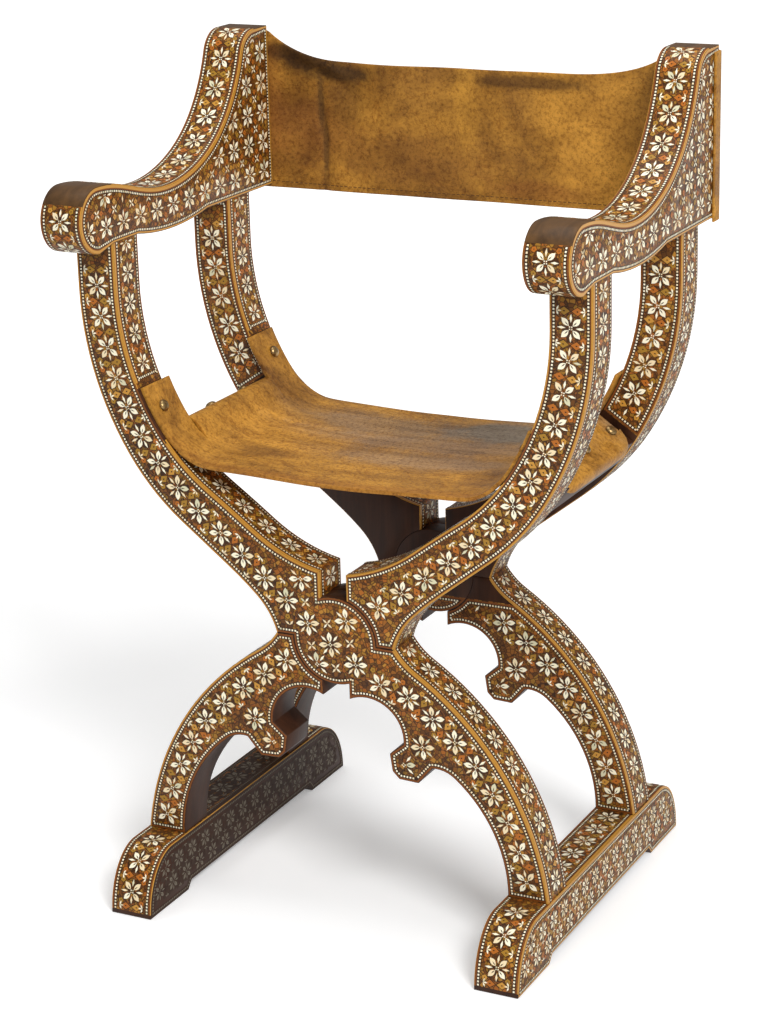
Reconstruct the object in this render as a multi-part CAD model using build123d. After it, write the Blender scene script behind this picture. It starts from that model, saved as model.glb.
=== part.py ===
from build123d import *
import os
from math import asin, atan, cos, degrees, radians, sin

os.makedirs("parts", exist_ok=True)

# A folding X-frame armchair. Two crossed frames turn on one axis, which lies
# along Y at the hubs. Frame A carries the left arm and the right runner, frame B
# the right arm and the left runner. +X is the sitter's left, seen from the front
# as right, -Y is the front and Z = 0 is the floor. All sizes are millimetres.

# ---- the two crossed frames -------------------------------------------------
AXIS_Z = 334.0  # height of the folding axis
FRAME_Y = 149.0  # outer face of each X, from the middle of the chair
LEG_DEPTH = 50.0  # timber of a leg, front to back
LEG_W = 47.0  # timber of a leg, across its curve

DISC_R = 50.0  # round half-depth knuckle at the crossing
JOINT_GAP = 0.3  # between the two halves of a knuckle joint
NOTCH_HALF = 16.0  # half the open notch above and below the knuckle
SHOULDER_RISE = 77.0  # inner corner of an upper shoulder, above the axis
SHOULDER_DROP = 65.0  # inner corner of a lower shoulder, below the axis
SHOULDER_REACH = 71.0  # outer corner of every shoulder, from the axis
PIN_R = 8.0
PIN_COVER = 7.0  # wood left over each end of the hidden pin
PIN_PLAY = 0.05

# ---- an upper leg: reach and rise from the axis to its centre line ----------
BEND_RISE = 366.0  # above this the leg is straight and upright
KNEE_REACH = 227.0  # the top of the seat rail meets the leg here
KNEE_RISE = 196.0
KNEE_LEAN = 33.5  # degrees from upright
KNEE_W = 50.0
THIGH_REACH = 166.5
THIGH_RISE = 131.5
THIGH_LEAN = 46.0
THIGH_W = 53.0
HIP_REACH = 112.5
HIP_RISE = 91.0
HIP_LEAN = 54.0
HIP_W = 54.6  # the leg swells here, before its shoulder
UPPER_FLARE = (95.0, 40.0)  # reach and rise of the outer edge beside the knuckle

# ---- a lower leg: reach and drop from the axis ------------------------------
BACK_REACH = 95.0  # outer edge just past the shoulder
BACK_DROP = 24.0
HAUNCH_REACH = 150.0
HAUNCH_DROP = 67.0
ANKLE_LEAN = 7.0
LOBE_REACH = 35.0  # centre of the round cut under the knuckle
LOBE_DROP = 109.0
LOBE_R = 48.0
CUSP_TOP = (80.0, 107.0)  # corners of the stepped cusp, reach and drop
CUSP_NOSE = (63.0, 121.0)
CUSP_CHIN = (66.0, 141.0)
CUSP_TIP = (74.0, 149.0)
CUSP_HEEL = (97.0, 150.0)
CUSP_BACK = (114.0, 130.0)
ARCH_BACK = (140.0, 137.0)  # where the long arc of the arch turns into its crown

# ---- runners ----------------------------------------------------------------
RUNNER_X = 225.0  # middle of a runner
RUNNER_W = 51.0
RUNNER_H = 70.0
RUNNER_L = 470.0
RUNNER_NOSE = 54.0  # length of the rounded end
PAD_L = 84.0
PAD_RELIEF = 9.5  # height of the runner's underside between its pads
PAD_SLOPE = 8.0

# ---- arms, each with its back post ------------------------------------------
ARM_X = 277.0  # middle of an arm
ARM_W = 50.0
ARM_RISE = 418.0  # seat of the arm on the legs, above the axis
BELLY_DROP = 7.5  # how far the underside bows down between the legs
BELLY_END = 50.0  # the bow ends this far behind the middle of the chair
POST_TOP = 604.0  # above the axis
POST_BACK = 203.0  # back face of the post
POST_TIP = 31.0  # flat depth of the post at its top
POST_ROUND = (63.0, 23.0)  # behind the front, the rounded top ends: from the back face, from the top
SWEEP = (  # front of the post and top of the arm: place along Y, height over the seat
    (108.0, 105.0),
    (54.0, 62.0),
    (-45.0, 42.0),
)
SCROLL_R = 36.0
SCROLL_Y = -176.0
SCROLL_DIP = 6.0  # the scroll hangs this far below the seat of the arm

# ---- joinery ----------------------------------------------------------------
TENON_W = 20.0
TENON_L = 32.0
TENON_H = 24.0
TENON_PLAY = 0.1

# ---- seat rails -------------------------------------------------------------
RAIL_T = 30.0  # along the leg
RAIL_INSET = 1.0  # behind the leg's faces
RAIL_TENON = 14.0
STUB_W = 22.0  # section of its tenons
STUB_T = 18.0

# ---- leather ----------------------------------------------------------------
LEATHER = 4.0
LEATHER_GAP = 0.4
SEAT_HALF_L = 146.0  # front and back edges of the seat
TAB_L = 50.0  # height of the tabs nailed to the legs, over the flap
SLING_CLEAR = 7.0  # underside of the sling, in from the rail's inner side
SLING_DIP = 14.0  # and down from the rail's middle, where it turns
SAG_REACH = 35.0  # on from there to the flat part of the sling
SAG_DROP = 13.0
SAG_DIP = 5.0  # from there down to the middle of the chair
FLAP_HALF_L = 92.0
FLAP_DROP = 20.0  # flap over the outside of the rail
FLAP_ROUND = 16.0
BACK_T = 3.0
BACK_TOP = 598.0  # at the posts, above the axis
BACK_DIP = 34.0  # how far the top edge hangs between the posts
BACK_DIP_REACH = 150.0
BACK_FOOT = 414.0
BACK_WRAP = 18.0  # turned round the outer side of the post

# ---- brass dome nails -------------------------------------------------------
NAIL_R = 6.5
NAIL_H = 4.0
NAIL_GAP = 0.15
NAIL_SIDES = 10  # forged heads
NAIL_RINGS = 3
TAB_NAIL_DOWN = 27.0  # from the top of the tab
TAB_NAIL_INSET = 24.0  # from the outer face of the X
RAIL_NAIL_STEP = 74.0
BACK_NAIL_EDGE = 22.0  # from the ends of the leather
BACK_NAIL_INSET = 14.0  # from the outer side of the post

# ---- helpers for modelling --------------------------------------------------
QUARTER_TURN = 90.0  # degrees
OVERCUT = 1.0  # how far a cutter passes the face that it opens
MATCH = 0.01  # two lengths this near each other are the same

# ---- worked out from the above ----------------------------------------------
INNER_Y = FRAME_Y - LEG_DEPTH
HALF_LAP = LEG_DEPTH / 2
ARM_Z = AXIS_Z + ARM_RISE
FOLD_STOP = 2 * degrees(atan(NOTCH_HALF / SHOULDER_RISE))


def from_axis(reach, rise):
    """A point of a frame's outline, from its reach and rise over the axis."""
    return Vector(reach, AXIS_Z + rise)


def lean_pair(lean):
    """Unit vectors up a leg that leans out by so many degrees, and across to its inner edge."""
    up = Vector(sin(radians(lean)), cos(radians(lean)))
    return up, Vector(-up.Y, up.X)


def station(reach, rise, lean, width):
    """The outer and inner edge of a leg where its centre line passes one point."""
    across = lean_pair(lean)[1] * (width / 2)
    middle = from_axis(reach, rise)
    return middle - across, middle + across


def arc_chain(start, tangent, points):
    """Arcs through the points, each tangent to the one before."""
    arcs = []
    for point in points:
        arcs.append(TangentArc(start, point, tangent=tangent))
        start, tangent = arcs[-1] @ 1, arcs[-1] % 1
    return arcs


def upper_edges():
    """Outer and inner edge of an upper leg, each a chain of arcs from the bend to the shoulder."""
    bend_out, bend_in = station(ARM_X, BEND_RISE, 0, LEG_W)
    knee_out, knee_in = station(KNEE_REACH, KNEE_RISE, KNEE_LEAN, KNEE_W)
    thigh_out, thigh_in = station(THIGH_REACH, THIGH_RISE, THIGH_LEAN, THIGH_W)
    hip_out, hip_in = station(HIP_REACH, HIP_RISE, HIP_LEAN, HIP_W)
    corner_out = from_axis(SHOULDER_REACH, JOINT_GAP / 2)
    corner_in = from_axis(NOTCH_HALF, SHOULDER_RISE)
    flare = from_axis(*UPPER_FLARE)
    outer = arc_chain(bend_out, (0, -1), [knee_out, thigh_out, hip_out, flare, corner_out])
    inner = arc_chain(bend_in, (0, -1), [knee_in, thigh_in, hip_in, corner_in])
    return outer, inner


def upper_face():
    """Outline of a right upper leg, with its heel inside the knuckle."""
    outer, inner = upper_edges()
    bend_out, bend_in = outer[0] @ 0, inner[0] @ 0
    top_out, top_in = Vector(bend_out.X, ARM_Z), Vector(bend_in.X, ARM_Z)
    heel = from_axis(NOTCH_HALF, JOINT_GAP / 2)
    ends = [Line(outer[-1] @ 1, heel), Line(heel, inner[-1] @ 1)]
    head = [Line(bend_in, top_in), Line(top_in, top_out), Line(top_out, bend_out)]
    return make_face(outer + inner + ends + head)


def below_axis(reach, drop):
    return from_axis(reach, -drop)


def lower_face():
    """Outline of a right lower leg, with its lobe, stepped cusp and arch."""
    corner = below_axis(SHOULDER_REACH, JOINT_GAP / 2)
    back = below_axis(BACK_REACH, BACK_DROP)
    haunch = below_axis(HAUNCH_REACH, HAUNCH_DROP)
    foot_out = Vector(RUNNER_X + LEG_W / 2, RUNNER_H)
    foot_in = Vector(RUNNER_X - LEG_W / 2, RUNNER_H)
    outer = arc_chain(foot_out, lean_pair(-ANKLE_LEAN)[0], [haunch, back, corner])
    arch = arc_chain(foot_in, (0, 1), [below_axis(*ARCH_BACK), below_axis(*CUSP_BACK)])
    steps = (CUSP_BACK, CUSP_HEEL, CUSP_TIP, CUSP_CHIN, CUSP_NOSE, CUSP_TOP)
    cusp = Polyline(*[below_axis(*step) for step in steps])
    lobe_centre = below_axis(LOBE_REACH, LOBE_DROP)
    shoulder = below_axis(NOTCH_HALF, SHOULDER_DROP)
    lobe_mid = lobe_centre + Vector(1, 1).normalized() * LOBE_R
    lobe = ThreePointArc(cusp @ 1, lobe_mid, shoulder)
    heel = below_axis(NOTCH_HALF, JOINT_GAP / 2)
    ends = [Line(foot_out, foot_in), Line(shoulder, heel), Line(heel, corner)]
    return make_face(outer + arch + [cusp, lobe] + ends)


def knuckle(radius, near, far):
    """A round block on the folding axis, between two distances from the outer face."""
    middle = Pos(0, -FRAME_Y + (near + far) / 2, AXIS_Z)
    return middle * Rot(QUARTER_TURN, 0, 0) * Cylinder(radius, far - near)


def tenon(x, z_low, z_high, play=0.0):
    size = (TENON_W + 2 * play, TENON_L + 2 * play, z_high - z_low)
    return Pos(x, -FRAME_Y + LEG_DEPTH / 2, (z_low + z_high) / 2) * Box(*size)


def front_leg(side, disc_outside):
    """One leg of the front X, from its arm at this side down to the other side's runner."""
    plane = Plane.XZ.offset(INNER_Y)
    upper = extrude(plane * upper_face(), amount=LEG_DEPTH)
    lower = mirror(extrude(plane * lower_face(), amount=LEG_DEPTH), about=Plane.YZ)
    leg = upper + lower
    lap = HALF_LAP - JOINT_GAP / 2
    if disc_outside:
        leg -= knuckle(DISC_R + JOINT_GAP, lap, LEG_DEPTH + OVERCUT)
        leg += knuckle(DISC_R, 0, lap)
    else:
        leg -= knuckle(DISC_R + JOINT_GAP, -OVERCUT, LEG_DEPTH - lap)
        leg += knuckle(DISC_R, LEG_DEPTH - lap, LEG_DEPTH)
    leg -= knuckle(PIN_R + PIN_PLAY, PIN_COVER, LEG_DEPTH - PIN_COVER)
    leg += tenon(ARM_X, ARM_Z, ARM_Z + TENON_H)
    leg += tenon(-RUNNER_X, RUNNER_H - TENON_H, RUNNER_H)
    leg -= rail_tenon(RAIL_TENON, TENON_PLAY)
    return leg if side > 0 else mirror(leg, about=Plane.YZ)


def rail_frame():
    """The middle of a right seat rail, with its local X across the leg and Y up the leg."""
    inner = upper_edges()[1][0]
    up = inner % 1 * -1
    across = Vector(-up.Y, up.X)
    middle = inner @ 1 - across * (KNEE_W / 2) - up * (RAIL_T / 2)
    return Plane(origin=(middle.X, 0, middle.Y), x_dir=(across.X, 0, across.Y), z_dir=(0, 1, 0))


def rail_tenon(length, play=0.0):
    """Stub tenons at both ends of a rail."""
    return rail_frame() * Box(STUB_W + 2 * play, STUB_T + 2 * play, 2 * (INNER_Y + length + play))


def seat_rail():
    body = rail_frame() * Box(KNEE_W - 2 * RAIL_INSET, RAIL_T, 2 * INNER_Y)
    return body + rail_tenon(RAIL_TENON)


def runner():
    """A right runner: rounded ends, and a relieved underside between two pads."""
    end, high = RUNNER_L / 2, RUNNER_H
    nose = EllipticalCenterArc((end - RUNNER_NOSE, 0), RUNNER_NOSE, high, 0, arc_size=QUARTER_TURN)
    tail = mirror(nose, about=Plane.YZ)
    pad = end - PAD_L
    underside = Polyline(
        (-end, 0), (-pad, 0), (-pad + PAD_SLOPE, PAD_RELIEF), (pad - PAD_SLOPE, PAD_RELIEF), (pad, 0), (end, 0)
    )
    top = Line((end - RUNNER_NOSE, high), (-end + RUNNER_NOSE, high))
    outline = make_face([nose, top, tail, underside])
    bar = extrude(Plane.YZ.offset(RUNNER_X - RUNNER_W / 2) * outline, amount=RUNNER_W)
    mortise = tenon(RUNNER_X, RUNNER_H - TENON_H - TENON_PLAY, RUNNER_H, TENON_PLAY)
    return bar - mortise - mirror(mortise, about=Plane.XZ)


def arm_outline():
    """Side view of an arm and its post, along Y and up."""
    top = AXIS_Z + POST_TOP
    back_foot = Vector(POST_BACK, ARM_Z)
    back_top = Vector(POST_BACK, top)
    tip = Vector(POST_BACK - POST_TIP, top)
    brow = Vector(POST_BACK - POST_ROUND[0], top - POST_ROUND[1])
    scroll = Vector(SCROLL_Y, ARM_Z - SCROLL_DIP + SCROLL_R)
    crown = scroll + Vector(0, SCROLL_R)
    sweep = arc_chain(tip, (-1, 0), [brow] + [Vector(y, ARM_Z + z) for y, z in SWEEP])
    rise = Spline(sweep[-1] @ 1, crown, tangents=[sweep[-1] % 1, (-1, 0)])
    curl = ThreePointArc(crown, scroll - Vector(SCROLL_R, 0), scroll - Vector(0, SCROLL_R))
    front_seat = Vector(-INNER_Y, ARM_Z)
    belly_end = Vector(BELLY_END, ARM_Z)
    belly_low = (front_seat + belly_end) / 2 - Vector(0, BELLY_DROP)
    belly = ThreePointArc(front_seat, belly_low, belly_end)
    throat = Line(curl @ 1, Vector(-FRAME_Y, ARM_Z))
    post = [Line(belly_end, back_foot), Line(back_foot, back_top), Line(back_top, tip)]
    return make_face(post + sweep + [rise, curl, throat, Line(throat @ 1, front_seat), belly])


def arm():
    """A right arm in one piece with its back post."""
    body = extrude(Plane.YZ.offset(ARM_X - ARM_W / 2) * arm_outline(), amount=ARM_W)
    mortise = tenon(ARM_X, ARM_Z, ARM_Z + TENON_H + TENON_PLAY, TENON_PLAY)
    return body - mortise - mirror(mortise, about=Plane.XZ)


def tab_arc(off):
    """An arc that stands off the inner edge of a right leg, from a tab's top down to the flap."""
    edge = upper_edges()[1][0]
    flap_top = LEATHER_GAP + LEATHER
    low = edge.length - flap_top
    places = [edge @ ((low - TAB_L * i / 2) / edge.length) for i in (2, 1, 0)]
    leans = [edge % ((low - TAB_L * i / 2) / edge.length) for i in (2, 1, 0)]
    points = [place + Vector(lean.Y, -lean.X) * off for place, lean in zip(places, leans)]
    return ThreePointArc(*points)


def beside(arc, off):
    """The arc that runs parallel to another, this far to its left."""
    points = [arc @ t + Vector(-(arc % t).Y, (arc % t).X) * off for t in (0, 0.5, 1)]
    return ThreePointArc(*points)


def sling_section():
    """Section of the seat sling, from tab top to tab top."""
    turn = rail_frame().from_local_coords((KNEE_W / 2 - RAIL_INSET + SLING_CLEAR, -SLING_DIP, 0))
    turn = Vector(turn.X, turn.Z)
    flat = turn - Vector(SAG_REACH, SAG_DROP)
    tab = tab_arc(LEATHER_GAP)
    middle = ThreePointArc(flat, Vector(0, flat.Y - SAG_DIP), Vector(-flat.X, flat.Y))
    bend = Spline(tab @ 1, turn, flat, tangents=[tab % 1, middle % 0])
    down = bend % bend.param_at_point(turn)
    turn_over = turn + Vector(down.Y, -down.X) * LEATHER
    tab_over, middle_over = beside(tab, -LEATHER), beside(middle, -LEATHER)
    bend_over = Spline(tab_over @ 1, turn_over, middle_over @ 0, tangents=[tab % 1, middle % 0])
    half = [tab, bend, tab_over, bend_over, Line(tab @ 0, tab_over @ 0)]
    return make_face(half + [mirror(line, about=Plane.YZ) for line in half] + [middle, middle_over])


def rail_box(x_low, x_high, y_low, y_high, half_length):
    """A box beside a right rail, in the rail's own directions."""
    box = Box(x_high - x_low, y_high - y_low, 2 * half_length)
    return rail_frame() * (Pos((x_low + x_high) / 2, (y_low + y_high) / 2, 0) * box)


def seat_flap():
    """Leather over the top of a right rail and down its outer side."""
    side = KNEE_W / 2 - RAIL_INSET + LEATHER_GAP
    top = RAIL_T / 2 + LEATHER_GAP
    inner_side = KNEE_W / 2 + LEATHER_GAP + LEATHER
    plate = rail_box(-side - LEATHER, inner_side, top, top + LEATHER, FLAP_HALF_L)
    fall = rail_box(-side - LEATHER, -side, top + LEATHER - FLAP_DROP, top + LEATHER, FLAP_HALF_L)
    corners = fall.edges().filter_by(lambda e: abs(e.length - LEATHER) < MATCH)
    fall = fillet(corners.sort_by(Axis.Z)[:2], FLAP_ROUND)
    return plate + fall


def seat_leather():
    """The sling, four tabs on the legs and a flap round each rail."""
    sling = extrude(Plane.XZ * sling_section(), amount=SEAT_HALF_L, both=True)
    high = RAIL_T / 2 + LEATHER_GAP + LEATHER
    between = rail_box(-KNEE_W, 2 * KNEE_W, high, 4 * KNEE_W, INNER_Y + LEATHER_GAP)
    for trim in (between, mirror(between, about=Plane.YZ)):
        sling -= trim
    flap = seat_flap()
    return sling + flap + mirror(flap, about=Plane.YZ)


def back_leather():
    """The strap across the posts, turned round their outer sides."""
    outside = ARM_X + ARM_W / 2 + LEATHER_GAP + BACK_T
    post_side = ARM_X - ARM_W / 2
    foot, top = AXIS_Z + BACK_FOOT, AXIS_Z + BACK_TOP
    low = top - BACK_DIP
    dips = [(x, low) for x in (-BACK_DIP_REACH, 0, BACK_DIP_REACH)]
    left_dip = Spline((-post_side, top), *dips, (post_side, top))
    rim = [(post_side, top), (outside, top), (outside, foot)]
    rim += [(-outside, foot), (-outside, top), (-post_side, top)]
    panel_y = POST_BACK + LEATHER_GAP
    panel = extrude(Plane.XZ.offset(-panel_y) * make_face([left_dip, Polyline(*rim)]), amount=-BACK_T)
    wrap_size = (BACK_T, BACK_WRAP + LEATHER_GAP, top - foot)
    wrap_y = panel_y - wrap_size[1] / 2
    for side in (-1, 1):
        panel += Pos(side * (outside - BACK_T / 2), wrap_y, (top + foot) / 2) * Box(*wrap_size)
    return panel


def dome():
    """A low nail head on Z = 0, its crown in a few forged facets."""
    ball_r = (NAIL_R ** 2 + NAIL_H ** 2) / (2 * NAIL_H)
    rim_turn = asin(NAIL_R / ball_r)
    rings = []
    for i in range(NAIL_RINGS):
        turn = rim_turn * (1 - i / NAIL_RINGS)
        level = ball_r * cos(turn) - ball_r + NAIL_H
        rings.append(Pos(0, 0, level) * RegularPolygon(ball_r * sin(turn), NAIL_SIDES))
    return loft(rings, ruled=True)


def dome_at(x, y, z, out):
    """A nail head at a point, with its crown facing the direction out."""
    return Plane(origin=(x, y, z), z_dir=out).location * dome()


def seat_nails():
    """Heads on the right side: one on each tab and three along the rail."""
    heads = []
    tab = tab_arc(LEATHER_GAP + LEATHER + NAIL_GAP)
    along = TAB_NAIL_DOWN / tab.length
    spot, down = tab @ along, tab % along
    for y in (-FRAME_Y + TAB_NAIL_INSET, FRAME_Y - TAB_NAIL_INSET):
        heads.append(dome_at(spot.X, y, spot.Y, (down.Y, 0, -down.X)))
    frame = rail_frame()
    for step in (-1, 0, 1):
        lift = RAIL_T / 2 + LEATHER_GAP + LEATHER + NAIL_GAP
        place = frame.from_local_coords((0, lift, step * RAIL_NAIL_STEP))
        heads.append(dome_at(place.X, place.Y, place.Z, frame.y_dir))
    return Compound(children=heads)


def back_nails():
    """Three heads down the back of the right post."""
    low, high = AXIS_Z + BACK_FOOT + BACK_NAIL_EDGE, AXIS_Z + BACK_TOP - BACK_NAIL_EDGE
    y = POST_BACK + LEATHER_GAP + BACK_T + NAIL_GAP
    x = ARM_X + ARM_W / 2 - BACK_NAIL_INSET
    return Compound(children=[dome_at(x, y, low + (high - low) * i / 2, (0, 1, 0)) for i in range(3)])


def pivot_pin():
    return knuckle(PIN_R, PIN_COVER, LEG_DEPTH - PIN_COVER)


def other_side(shape):
    return mirror(shape, about=Plane.YZ)


def at_back(shape):
    return mirror(shape, about=Plane.XZ)


leg_a = front_leg(-1, disc_outside=True)
leg_b = front_leg(1, disc_outside=False)

nodes = {
    "front_leg_a": leg_a,
    "rear_leg_a": at_back(leg_a),
    "left_arm": other_side(arm()),
    "left_seat_rail": other_side(seat_rail()),
    "right_runner": runner(),
    "left_seat_nails": other_side(seat_nails()),
    "left_back_nails": other_side(back_nails()),
    "front_leg_b": leg_b,
    "rear_leg_b": at_back(leg_b),
    "right_arm": arm(),
    "right_seat_rail": seat_rail(),
    "left_runner": other_side(runner()),
    "right_seat_nails": seat_nails(),
    "right_back_nails": back_nails(),
    "front_pivot_pin": pivot_pin(),
    "rear_pivot_pin": at_back(pivot_pin()),
    "seat_leather": seat_leather(),
    "back_leather": back_leather(),
}

for name, shape in nodes.items():
    export_step(shape, f"parts/{name}.step")
print(f"{len(nodes)} nodes, frames fold by {FOLD_STOP:.1f} degrees until the shoulders meet")
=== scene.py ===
"""Folding X-frame armchair in inlaid walnut, with a leather seat and back."""

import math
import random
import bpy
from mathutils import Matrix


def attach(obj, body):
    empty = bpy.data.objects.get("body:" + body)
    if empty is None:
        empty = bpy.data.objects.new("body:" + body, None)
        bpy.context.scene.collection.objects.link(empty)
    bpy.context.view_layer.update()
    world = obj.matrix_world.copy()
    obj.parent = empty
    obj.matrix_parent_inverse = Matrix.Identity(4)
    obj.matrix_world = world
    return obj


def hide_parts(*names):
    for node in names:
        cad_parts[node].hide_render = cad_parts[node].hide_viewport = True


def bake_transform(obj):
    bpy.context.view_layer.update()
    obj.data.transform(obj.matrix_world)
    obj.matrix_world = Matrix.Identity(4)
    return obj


bl_info = {
    "name": "Inlaid Folding Armchair",
    "version": (1, 0, 0),
    "blender": (4, 5, 0),
    "location": "View3D > Sidebar > Armchair",
    "description": "Dresses a folding X-frame armchair in inlaid walnut, leather and brass",
    "category": "Add Mesh",
}

import bmesh
import bpy
import numpy as np
from bpy.props import FloatProperty, FloatVectorProperty, PointerProperty
from mathutils import Matrix, Vector

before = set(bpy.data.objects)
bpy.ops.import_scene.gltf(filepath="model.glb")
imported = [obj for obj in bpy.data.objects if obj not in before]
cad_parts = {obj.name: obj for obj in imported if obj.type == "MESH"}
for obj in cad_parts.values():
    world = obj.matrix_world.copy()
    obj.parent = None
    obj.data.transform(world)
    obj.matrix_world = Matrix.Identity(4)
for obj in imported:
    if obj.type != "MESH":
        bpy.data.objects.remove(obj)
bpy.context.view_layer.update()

MM = 0.001
# faces of the legs, arms and runners from the middle of the chair, and how deep a leg is
LEG_FRONT = 149 * MM
LEG_BACK = 99 * MM
LEG_DEPTH = 50 * MM
ARM_IN, ARM_OUT = 252 * MM, 302 * MM
RUNNER_IN, RUNNER_OUT = 199.5 * MM, 250.5 * MM
# the right seat rail's middle as (x, z), and its ways in to the seat and up, for it leans with its legs
RAIL_AT = np.array((218.617, 517.442)) * MM
RAIL_IN = np.array((-0.831705, 0.555218))
RAIL_UP = np.array((0.555218, 0.831705))

# the last material, darkened bone, is painted shade for a face in shadow
INLAY_MATERIALS = ("inlay_line", "inlay_brown", "inlay_bone", "inlay_bone_warm", "inlay_bone_grey",
                   "inlay_orange", "inlay_olive", "inlay_gold", "inlay_red", "inlay_painted_shade")
LINE, BROWN, BONE, BONE_WARM, BONE_GREY, ORANGE, OLIVE, GOLD, RED, SHADED_BONE = range(10)
STEP = 0.08 * MM  # a tile of one level lies this much above one of the level below


def colour(default, name, description):
    return FloatVectorProperty(name=name, description=description, subtype="COLOR", size=3,
                               min=0.0, max=1.0, default=default)


def length(default_mm, name, description):
    return FloatProperty(name=name, description=description, default=default_mm * MM, min=0.0,
                         precision=4, subtype="DISTANCE", unit="LENGTH")


def srgb(*display):
    """Linear colour from 8-bit display values."""
    return tuple(((c / 255 + 0.055) / 1.055) ** 2.4 if c > 10 else c / 255 / 12.92 for c in display)


class InlaySizes(bpy.types.PropertyGroup):
    """Sizes of the bone and wood inlay."""

    pitch: length(34.5, "Flower pitch", "Distance between flowers along a row")
    arm_pitch: length(34.6, "Arm flower pitch", "Distance between flowers on the arms")
    dot: length(2.0, "Dot", "Side of one square bone dot")
    dot_pitch: length(3.6, "Dot pitch", "Distance between dots")
    border: length(4.9, "Border inset", "Distance of the row of dots from the edge")
    edge_round: length(0.8, "Worn edge", "Width of the rounding on the edges of the wood")


class LeatherSizes(bpy.types.PropertyGroup):
    """Sizes of the seat and back leather."""

    seat_thick: length(4.0, "Seat thickness", "Thickness of the seat leather")
    back_thick: length(3.0, "Back thickness", "Thickness of the back leather")
    stitch: length(4.2, "Stitch", "Length of one stitch")
    stitch_pitch: length(6.0, "Stitch pitch", "Distance between stitches")
    seam_rise: length(7.0, "Seam height", "Height of the seam above the lower edge of the back")


class NailSizes(bpy.types.PropertyGroup):
    """Sizes of the nail heads."""

    radius: length(6.8, "Radius", "Radius of a head")
    height: length(4.3, "Height", "Height of a head's crown")


class ChairColours(bpy.types.PropertyGroup):
    """Colours of the chair and its stage."""

    brown: colour(srgb(142, 88, 32), "Walnut", "Ground of the inlaid faces")
    disc: colour(srgb(78, 46, 18), "Dark disc", "Dark wood behind each flower")
    red_brown: colour(srgb(64, 36, 20), "Plain wood", "Plain walnut of rails and undersides")
    line: colour(srgb(52, 30, 14), "Dark line", "Dark wood round each tile")
    olive: colour(srgb(162, 120, 42), "Olive", "Greenish golden patches")
    # the golden strips along the corners are partly stringing, partly a painted highlight
    gold: colour(srgb(194, 140, 56), "Golden stringing", "Golden strips along the corners")
    orange: colour(srgb(176, 102, 34), "Orange", "Orange kites")
    margin: colour(srgb(122, 68, 26), "Margin", "Reddish margins outside the dots")
    bone: colour(srgb(250, 242, 214), "Bone", "Bone tiles")
    leather: colour(srgb(186, 134, 54), "Leather", "Ochre leather")
    leather_dark: colour(srgb(104, 66, 30), "Leather, worn", "Darker, handled leather")
    brass: colour(srgb(160, 132, 88), "Brass", "Antique brass of the nails")
    floor: colour((0.92, 0.92, 0.92), "Floor", "Floor and backdrop")


def sizes(kind):
    return getattr(bpy.context.scene, kind)


# ---------------------------------------------------------------- materials

WHITE, BLACK = (1.0, 1.0, 1.0), (0.0, 0.0, 0.0)
# patches of colour on the leather: place and reach in millimetres, colour and strength; on the back some are
# painted shadow
SEAT_SMUDGES = (
    ((120, 95, 510), (120, 46, 60), (132, 124, 114), 0.9),
    ((40, 30, 508), (170, 30, 60), (158, 132, 108), 0.6),
    ((-125, -70, 512), (36, 18, 60), (112, 74, 36), 0.6),
    ((20, -140, 506), (260, 14, 60), (150, 92, 34), 0.4),
    ((-60, 80, 508), (110, 40, 60), (142, 118, 94), 0.65),
    ((60, -30, 508), (130, 30, 60), (160, 132, 104), 0.6),
)
# the back grows lighter from left to right; the dark patches along the fold from the upper left corner, along
# the crease below it and along the fold right of the middle are painted shadow
BACK_TONES_AND_SHADOWS = (
    ((175, 204, 830), (110, 60, 90), (206, 150, 62), 0.6),
    # painted shadow along the fold drawn down from the upper left corner
    ((-228, 204, 908), (34, 60, 12), (64, 42, 20), 0.9),
    ((-200, 204, 897), (40, 60, 15), (56, 36, 18), 0.9),
    ((-160, 204, 886), (44, 60, 11), (62, 42, 20), 0.85),
    ((-262, 204, 840), (30, 60, 90), (146, 92, 42), 0.5),
    ((-200, 204, 820), (70, 60, 40), (158, 106, 50), 0.5),
    # painted shade in the crease
    ((-181, 204, 800), (5, 60, 40), (86, 60, 28), 0.8),
    ((-186, 204, 850), (5, 60, 34), (86, 60, 28), 0.8),
    ((-150, 204, 850), (26, 60, 34), (124, 88, 40), 0.35),
    # painted shadow under the fold right of the middle
    ((80, 204, 886), (80, 60, 9), (84, 54, 24), 0.75),
    ((0, 204, 850), (16, 60, 60), (204, 150, 60), 0.6),
    ((-70, 204, 790), (110, 60, 34), (122, 80, 36), 0.55),
    ((90, 204, 764), (60, 60, 12), (132, 80, 36), 0.5),
)


def scaled(tone, by):
    return tuple(min(1.0, c * by) for c in tone)


def mixed(a, b, share):
    return tuple(x + (y - x) * share for x, y in zip(a, b))


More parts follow.
